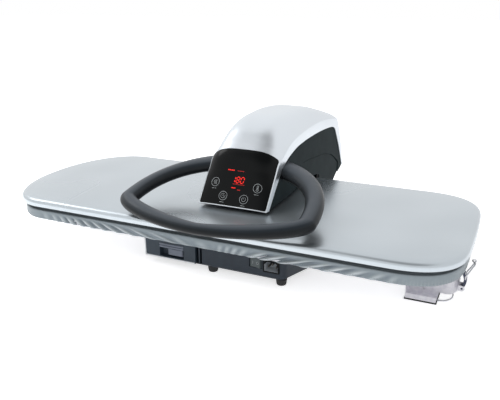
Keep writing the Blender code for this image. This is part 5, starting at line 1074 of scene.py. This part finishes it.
def strokeShape(path, width, closed=False, surface=onGlass):
    # A thin raised band along a path that is given in metres across and up its surface
    rings = []
    for index, (x, y) in enumerate(path):
        before = path[index - 1] if closed or index else path[index]
        after = path[(index + 1) % len(path)] if closed or index < len(path) - 1 else path[index]
        side = Vector((before[1] - after[1], after[0] - before[0])).normalized() * width / 2
        rings.append([surface(x + side.x * sign, y + side.y * sign, marks[lift])
                      for sign, lift in ((1, "low"), (1, "high"), (-1, "high"), (-1, "low"))])
    return lofted(rings, closed)


def keySign(kind):
    # Lines in millimetres round the key's middle
    if kind == "steam":
        return [[(side * 2.5 + 0.75 * math.sin(step * 0.9), (step - 5) * 0.8) for step in range(11)]
                for side in (-1, 0, 1)]
    if kind == "timer":
        return [arcPath(4.3, 60, 390, 24), [(0.0, 3.1), (0.0, 0.0), (2.2, -1.3)]]
    if kind == "power":
        return [arcPath(3.8, 125, 415, 24), [(0.0, 4.6), (0.0, 0.4)]]
    half, foot, top = thermometer["half"], thermometer["foot"], thermometer["top"]
    stem = [(-half, foot), (-half, top)] + arcPath(half, 170, 10, 6, (0.0, thermometer["dome"]))
    return [stem + [(half, top), (half, foot)],
            arcPath(thermometer["bulb"], 57, -237, 18, (0.0, thermometer["bulbAt"])),
            [(0.0, -3.6), (0.0, -2.4), (0.0, 1.5)]]


def keyShapes(kind, x, y):
    line, bar, drop = marks["line"], marks["bar"] / 2, marks["barDrop"]
    ring = arcPath(marks["ring"], 0, 360, marks["ringSteps"], (x, y))[:-1]
    shapes = [strokeShape(ring, line, True)]
    for path in keySign(kind):
        shapes.append(strokeShape([(x + a * millimetre, y + b * millimetre) for a, b in path], line * 0.95))
    for start, end in ((-1.0, 0.15), (0.45, 1.0)):
        shapes.append(strokeShape([(x + bar * start, y - drop), (x + bar * end, y - drop)], line * 1.3))
    return shapes


def digitShapes(digit, x, y):
    wide, tall, gap = marks["digitWidth"], marks["digitHeight"], marks["digitLine"] * 0.62
    shapes = []
    for segment in segmentsOf[digit]:
        ends = segmentEnds[segment]
        low, high = (Vector((wide * (a - 0.5), tall * (b - 0.5))) for a, b in (ends[:2], ends[2:]))
        ahead = (high - low).normalized() * gap
        path = [(x + end.x + end.y * marks["slant"], y + end.y) for end in (low + ahead, high - ahead)]
        shapes.append(strokeShape(path, marks["digitLine"]))
    return shapes


def makeMarks():
    printed, lit, dim = [], [], []
    for kind, (across, along) in keyPlaces.items():
        printed += keyShapes(kind, across * armHalf, along)
    for index, digit in enumerate(marks["digits"]):
        off = marks["digitPitch"] * (index - (len(marks["digits"]) - 1) / 2)
        lit += digitShapes(digit, marks["digitsAt"][0] * armHalf + off, marks["digitsAt"][1])
    for start, end, y, width, count, glows in dashes:
        for step in range(count):
            ends = [(start + (end - start) * (step + share) / count) * armHalf
                    for share in (marks["fill"], 1 - marks["fill"])]
            (lit if glows else dim).append(strokeShape([(x, y) for x in ends], width))
    addPiece("printedKeys", joined(printed), whiteInk, "head")
    addPiece("litSegments", joined(lit), redSegments, "head")
    addPiece("dimSegments", joined(dim), dimSegments, "head")


# Rocker marks, a line and a ring, on its two faces
rocker = {"split": 0.1118, "left": 0.1023, "right": 0.1208, "faceY": -0.1557, "proudY": -0.1586,
          "middleZ": 0.0375, "lineHigh": 0.0052, "ring": 0.0023, "ringSteps": 28, "line": 0.0009}


def rockerFace(startX, endX, endY):
    # Places on one face of the rocker, from metres across and up
    start, end = Vector((startX, rocker["faceY"], rocker["middleZ"])), Vector((endX, endY, rocker["middleZ"]))
    across = (end - start).normalized()
    outward = Vector((across.y, -across.x, 0))
    return lambda x, y, lift: (start + end) / 2 + across * x + Vector((0, 0, y)) + outward * lift


def makeRockerMarks():
    half, width = rocker["lineHigh"] / 2, rocker["line"]
    flat = rockerFace(rocker["left"], rocker["split"], rocker["faceY"])
    proud = rockerFace(rocker["split"], rocker["right"], rocker["proudY"])
    ring = arcPath(rocker["ring"], 0, 360, rocker["ringSteps"])[:-1]
    shapes = [strokeShape([(0.0, -half), (0.0, half)], width, False, flat),
              strokeShape(ring, width * 0.8, True, proud)]
    addPiece("rockerMarks", joined(shapes), whiteInk, "rocker")


# Tank front trims: two polished ribs over the grip and a finger pad in it, both in a paler grey that is
# painted highlight, a side rib, and a pale tube along the left and bottom edges as a painted highlight
tankTrim = {"faceY": -0.1570, "footZ": 0.0131, "topZ": 0.0556, "left": -0.1112, "right": -0.0050,
            "edge": 0.0012, "corner": 0.0040, "bendSteps": 6}
tankBlocks = [
    ("gripRibs", gripHighlightAbs, 0.00035, 2, [((-0.0793, -0.1576, 0.0342), (-0.0290, -0.1558, 0.0377)),
                                       ((-0.0793, -0.1576, 0.0386), (-0.0290, -0.1558, 0.0421))]),
    ("gripPad", gripHighlightAbs, 0.0010, 3, [((-0.0632, -0.1540, 0.0198), (-0.0333, -0.1464, 0.0318))]),
    ("tankSideRib", graphiteAbs, 0.0004, 2, [((-0.0004, -0.1535, 0.0131), (0.0026, -0.1440, 0.0556))]),
]


def makeTankTrim():
    for name, material, edge, segments, blocks in tankBlocks:
        shape = joined([slab(low, high) for low, high in blocks])
        bevelled(addPiece(name, shape, material, "tank"), edge, segments)
    # The pale tube along the left and bottom edges paints the edge's highlight
    edge, corner = tankTrim["edge"], tankTrim["corner"]
    x, y, z = tankTrim["left"] + edge, tankTrim["faceY"] - edge * 0.2, tankTrim["footZ"] + edge
    bend = [(a, y, b) for a, b in arcPath(corner, 180, 270, tankTrim["bendSteps"], (x + corner, z + corner))]
    line = [(x, y, tankTrim["topZ"])] + bend + [(tankTrim["right"] - edge, y, z)]
    addPiece("tankEdgeHighlight", tube(line, edge, 10), edgeHighlightAbs, "tank", (), 60)


makeMarks()
makeRockerMarks()
makeTankTrim()
print("marks and tank trims made")


# Springs, bail and wire loop: round wire along smooth paths
wires = {
    "springRadius": 0.0125, "springWire": 0.0016, "springTurns": 5.75, "springSteps": 44, "endSteps": 5,
    "bailWire": 0.0012, "bailHeight": 0.030, "bailLean": 0.0115, "bailHook": 0.0035, "leverHalf": 0.006,
    "bailPitch": 0.0009, "loopPitch": 0.0012, "loopSet": 0.003,
    "loopWire": 0.0014, "loopReach": 0.022, "loopWidth": 0.030, "loopRise": 0.005, "loopGap": 0.001,
}


def makeSpring(name):
    low, high = (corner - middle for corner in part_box(name))
    wire, ends = wires["springWire"], wires["endSteps"]
    steps = round(wires["springTurns"] * wires["springSteps"])
    startX, width = low.x + wire, high.x - low.x - 2 * wire
    wound = arcPath(wires["springRadius"], -90, 360 * wires["springTurns"] - 90, steps, (hinge.y, hinge.z))
    coil = [(startX + width * step / steps, y, z) for step, (y, z) in enumerate(wound)]
    first, last = coil[0], coil[-1]
    tang = [(first[0], low.y + (first[1] - low.y) * step / ends, first[2]) for step in range(ends)]
    foot = [(last[0], last[1], last[2] + (low.z - last[2]) * step / ends) for step in range(1, ends + 1)]
    addPiece(name + "_coil", tube(tang + coil + foot, wire), brightSteel, "base", [name], 60)


def makeBail():
    pivot = Vector(joints["bail_swing"]["pos_m"]) - middle
    half, wire, height = wires["leverHalf"], wires["bailWire"], wires["bailHeight"]
    reach, lean = half + wire * 2, wires["bailLean"]
    side = [(0, half / 3, 0), (0, half, 0), (0, reach, wire), (0, reach + wire, wire * 3),
            (lean * 0.6, reach, height * 0.6), (lean, half, height),
            (lean - wires["bailHook"], half / 2, height + wire)]
    path = [pivot + Vector((x, -y, z)) for x, y, z in side]
    path += [pivot + Vector(place) for place in reversed(side)]
    shape = tube(smoothPath(path, wires["bailPitch"]), wire)
    addPiece("latchBailWire", shape, brightSteel, "bail", ["latch_bail"], 60)


def makeLoop():
    wire, reach, width, rise = wires["loopWire"], wires["loopReach"], wires["loopWidth"], wires["loopRise"]
    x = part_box("end_bracket")[1].x - middle.x + wires["loopGap"]
    y = joints["lever_swing"]["pos_m"][1] - middle.y + wires["loopSet"] - width / 2
    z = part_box("bracket_strip")[1].z + wire
    path = [(x, y, z), (x + reach * 0.6, y - wire, z + rise * 0.6),
            (x + reach * 0.95, y + width * 0.2, z + rise), (x + reach, y + width * 0.5, z + rise),
            (x + reach * 0.95, y + width * 0.8, z + rise),
            (x + reach * 0.6, y + width + wire, z + rise * 0.6), (x, y + width, z)]
    shape = tube(smoothPath(path, wires["loopPitch"]), wire)
    addPiece("wireLoopBent", shape, brightSteel, "base", ["wire_loop"], 60)


makeSpring("lift_spring_left")
makeSpring("lift_spring_right")
makeBail()
makeLoop()
print("springs, bail and loop made")


# Repeats grown by node trees: hem stitches and pan-head screws

def growTree(name, sizes):
    tree = bpy.data.node_groups.new(name, "GeometryNodeTree")
    tree.interface.new_socket("Geometry", in_out="INPUT", socket_type="NodeSocketGeometry")
    for key, value in sizes.items():
        tree.interface.new_socket(key, in_out="INPUT", socket_type="NodeSocketFloat").default_value = value
    tree.interface.new_socket("Geometry", in_out="OUTPUT", socket_type="NodeSocketGeometry")
    return tree, addNode(tree, "NodeGroupInput").outputs


def grown(name, tree, seed, instance, points, facing, material, body):
    # Sets an instance on each point, turned to face a way, and bakes them into one piece
    turn = addNode(tree, "FunctionNodeAlignRotationToVector", {"Vector": facing}, axis="Z")
    placed = addNode(tree, "GeometryNodeInstanceOnPoints",
                     {"Points": points, "Instance": instance, "Rotation": turn})
    real = addNode(tree, "GeometryNodeRealizeInstances", {"Geometry": placed})
    painted = addNode(tree, "GeometryNodeSetMaterial", {"Geometry": real}, in_Material=material)
    addNode(tree, "NodeGroupOutput", {"Geometry": painted})
    item = newObject(name, seed)
    item.modifiers.new("grown", "NODES").node_group = tree
    baked(item)
    smoothed(item, 40)
    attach(item, body)


stitch = {"Pitch": 0.0042, "Length": 0.0026, "Thickness": 0.0008}
stitchLine = {"lift": 0.0052, "out": 0.0002}


def makeStitches():
    tree, source = growTree("hemStitching", stitch)
    line = addNode(tree, "GeometryNodeMeshToCurve", {"Mesh": source["Geometry"]})
    points = addNode(tree, "GeometryNodeResampleCurve", {"Curve": line, "Length": source["Pitch"]},
                     mode="LENGTH")
    thread = addNode(tree, "GeometryNodeMeshUVSphere", in_Segments=8, in_Rings=6, in_Radius=0.5)
    size = addNode(tree, "ShaderNodeCombineXYZ",
                   {"X": source["Thickness"], "Y": source["Thickness"], "Z": source["Length"]})
    shaped = addNode(tree, "GeometryNodeTransform", {"Geometry": thread, "Scale": size})
    drop = 1 - stitchLine["lift"] / cover["drop"]
    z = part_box("board_cover")[1].z - cover["drop"] + stitchLine["lift"]
    outline = boardOutline(cover["inset"] - stitchLine["out"], board["shortfall"], cover)
    folds = skirtFolds()
    places = [Vector((x, y, z)) + outward * foldLift(x, y, drop, folds) + middle
              for (x, y), outward in zip(outline, outwardAlong(outline))]
    seed = bpy.data.meshes.new("hemLine")
    seed.from_pydata(places, [(index, (index + 1) % len(places)) for index in range(len(places))], [])
    ahead = addNode(tree, "GeometryNodeInputTangent")
    grown("hemStitches", tree, seed, shaped, points, ahead, hemThread, "base")


screw = {"Head": 0.0029, "Rise": 0.0013, "Slot": 0.0009, "Slot length": 0.0034}
# Where screws are: up each foot, on the housing's underside, and on the column's back at two heights
screwPlaces = {"footDepth": 0.0052, "columnGap": 0.011, "columnDepth": 0.032, "columnHeights": (0.022, 0.046)}
housingShares = [(0.12, 0.5), (0.5, 0.30), (0.88, 0.5), (0.12, 0.93), (0.5, 0.93), (0.84, 0.93)]
columnShares = (0.25, 0.75)


def screwSeed():
    down, back = Vector((0, 0, -1)), Vector((0, 1, 0))
    places = []
    for foot in ("foot_front_left", "foot_front_right", "foot_rear_left", "foot_rear_right"):
        low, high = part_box(foot)
        places.append(((low.x + high.x) / 2, (low.y + high.y) / 2, screwPlaces["footDepth"]))
    low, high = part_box("base_housing")
    places += [(low.x + (high.x - low.x) * x, low.y + (high.y - low.y) * y, low.z) for x, y in housingShares]
    facings = [down] * len(places)
    low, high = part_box("hinge_column")
    backY = middle.y + board["width"] / 2 + screwPlaces["columnGap"] + screwPlaces["columnDepth"]
    for share in columnShares:
        places += [(low.x + (high.x - low.x) * share, backY, z) for z in screwPlaces["columnHeights"]]
    facings += [back] * (len(places) - len(facings))
    seed = bpy.data.meshes.new("screwPlaces")
    seed.from_pydata(places, [], [])
    layer = seed.attributes.new("facing", "FLOAT_VECTOR", "POINT")
    for index, facing in enumerate(facings):
        layer.data[index].vector = facing
    return seed


def makeScrews():
    tree, source = growTree("panHeadScrews", screw)
    dome = addNode(tree, "GeometryNodeMeshUVSphere", in_Segments=28, in_Rings=14, in_Radius=1.0)
    size = addNode(tree, "ShaderNodeCombineXYZ",
                   {"X": source["Head"], "Y": source["Head"], "Z": source["Rise"]})
    head = addNode(tree, "GeometryNodeTransform", {"Geometry": dome, "Scale": size})
    lift = addNode(tree, "ShaderNodeCombineXYZ", {"Z": source["Rise"]})
    for first, second in (("Slot", "Slot length"), ("Slot length", "Slot")):
        bar = addNode(tree, "ShaderNodeCombineXYZ",
                      {"X": source[first], "Y": source[second], "Z": source["Rise"]})
        block = addNode(tree, "GeometryNodeMeshCube", {"Size": bar})
        raised = addNode(tree, "GeometryNodeTransform", {"Geometry": block, "Translation": lift})
        head = addNode(tree, "GeometryNodeMeshBoolean", {"Mesh 1": head, "Mesh 2": raised},
                       operation="DIFFERENCE")
    facing = addNode(tree, "GeometryNodeInputNamedAttribute", data_type="FLOAT_VECTOR", in_Name="facing")
    grown("baseScrews", tree, screwSeed(), head, source["Geometry"], facing.outputs["Attribute"],
          brightSteel, "base")


makeStitches()
makeScrews()
print("stitches and screws grown")


# Plain pieces keep their solids' forms, with joined faces, rounded edges and their finishes
plain = [
    ("base", graphiteAbs, 0.0012, "base_housing hinge_column"),
    ("base", rubber, 0.0006, "foot_front_left foot_front_right foot_rear_left foot_rear_right"),
    ("base", zincSheet, 0.0, "board_pan"), ("base", graphiteAbs, 0.0008, "water_pump"),
    ("base", laminate, 0.0, "power_board"), ("base", rubber, 0.0, "feed_hose valve_seat"),
    ("base", graphiteAbs, 0.0002, "switch_frame"), ("rocker", rockerAbs, 0.0005, "power_rocker"),
    ("base", inletBlack, 0.0003, "inlet_socket"),
    ("base", brass, 0.0, "inlet_pin_live inlet_pin_neutral inlet_pin_earth"),
    ("tank", tankAbs, 0.0004, "tank_front"), ("tank", smokeTank, 0.0006, "tank_body"),
    ("tank", graphiteAbs, 0.0004, "tank_lid"), ("base", zincSheet, 0.0003, "end_bracket"),
    ("base", rubber, 0.0004, "bracket_strip"), ("base", zincSheet, 0.0003, "corner_wing"),
    ("lever", navyNylon, 0.0005, "latch_lever"), ("head", anthraciteAbs, 0.0005, "arm_belly"),
    ("head", brightSteel, 0.0004, "arm_frame"), ("head", brightSteel, 0.0005, "hinge_shaft"),
    ("head", brightSteel, 0.0002, "shaft_clip_left shaft_clip_right"),
    ("head", brightSteel, 0.0004, "pivot_pin"), ("head", laminate, 0.0, "control_board"),
    ("plate", brightSteel, 0.0, "heating_element"), ("plate", castAluminium, 0.0, "steam_chamber"),
    ("plate", brightSteel, 0.0, "thermostat"), ("plate", mineralWool, 0.0, "insulation_mat"),
    ("plate", brightSteel, 0.0004, "plate_bracket"),
]
weld = {"reach": 0.00001, "flat": 0.6}         # metres and degrees
inletOpening = {"x": (0.1292, 0.1539), "z": (0.0267, 0.0437), "backY": -0.1389, "lipY": -0.1572}


def dressed(node, material, body, edge):
    # A CAD solid's triangles joined up again, with flat areas made whole faces
    shape = bmesh.new()
    shape.from_mesh(nodes[node].data)
    bmesh.ops.remove_doubles(shape, verts=shape.verts, dist=weld["reach"])
    bmesh.ops.dissolve_limit(shape, angle_limit=math.radians(weld["flat"]),
                             verts=shape.verts, edges=shape.edges)
    item = addPiece(node + "_finished", shape, material, body, [node])
    if edge:
        bevelled(item, edge)
    return item


def lightenInletRecess(item):
    # The faces inside the inlet's opening get a paler grey: painted light against the recess's shade
    item.data.materials.append(inletRecessLight)
    (lowX, highX), (lowZ, highZ) = inletOpening["x"], inletOpening["z"]
    for face in item.data.polygons:
        places = [item.data.vertices[index].co - middle for index in face.vertices]
        within = all(lowX < place.x < highX and lowZ < place.z < highZ and place.y < inletOpening["backY"]
                     for place in places)
        if within and sum(place.y for place in places) / len(places) > inletOpening["lipY"]:
            face.material_index = 1


for body, material, edge, names in plain:
    for node in names.split():
        item = dressed(node, material, body, edge)
        if node == "inlet_socket":
            lightenInletRecess(item)
print("plain pieces dressed:", sum(len(names.split()) for *_, names in plain))
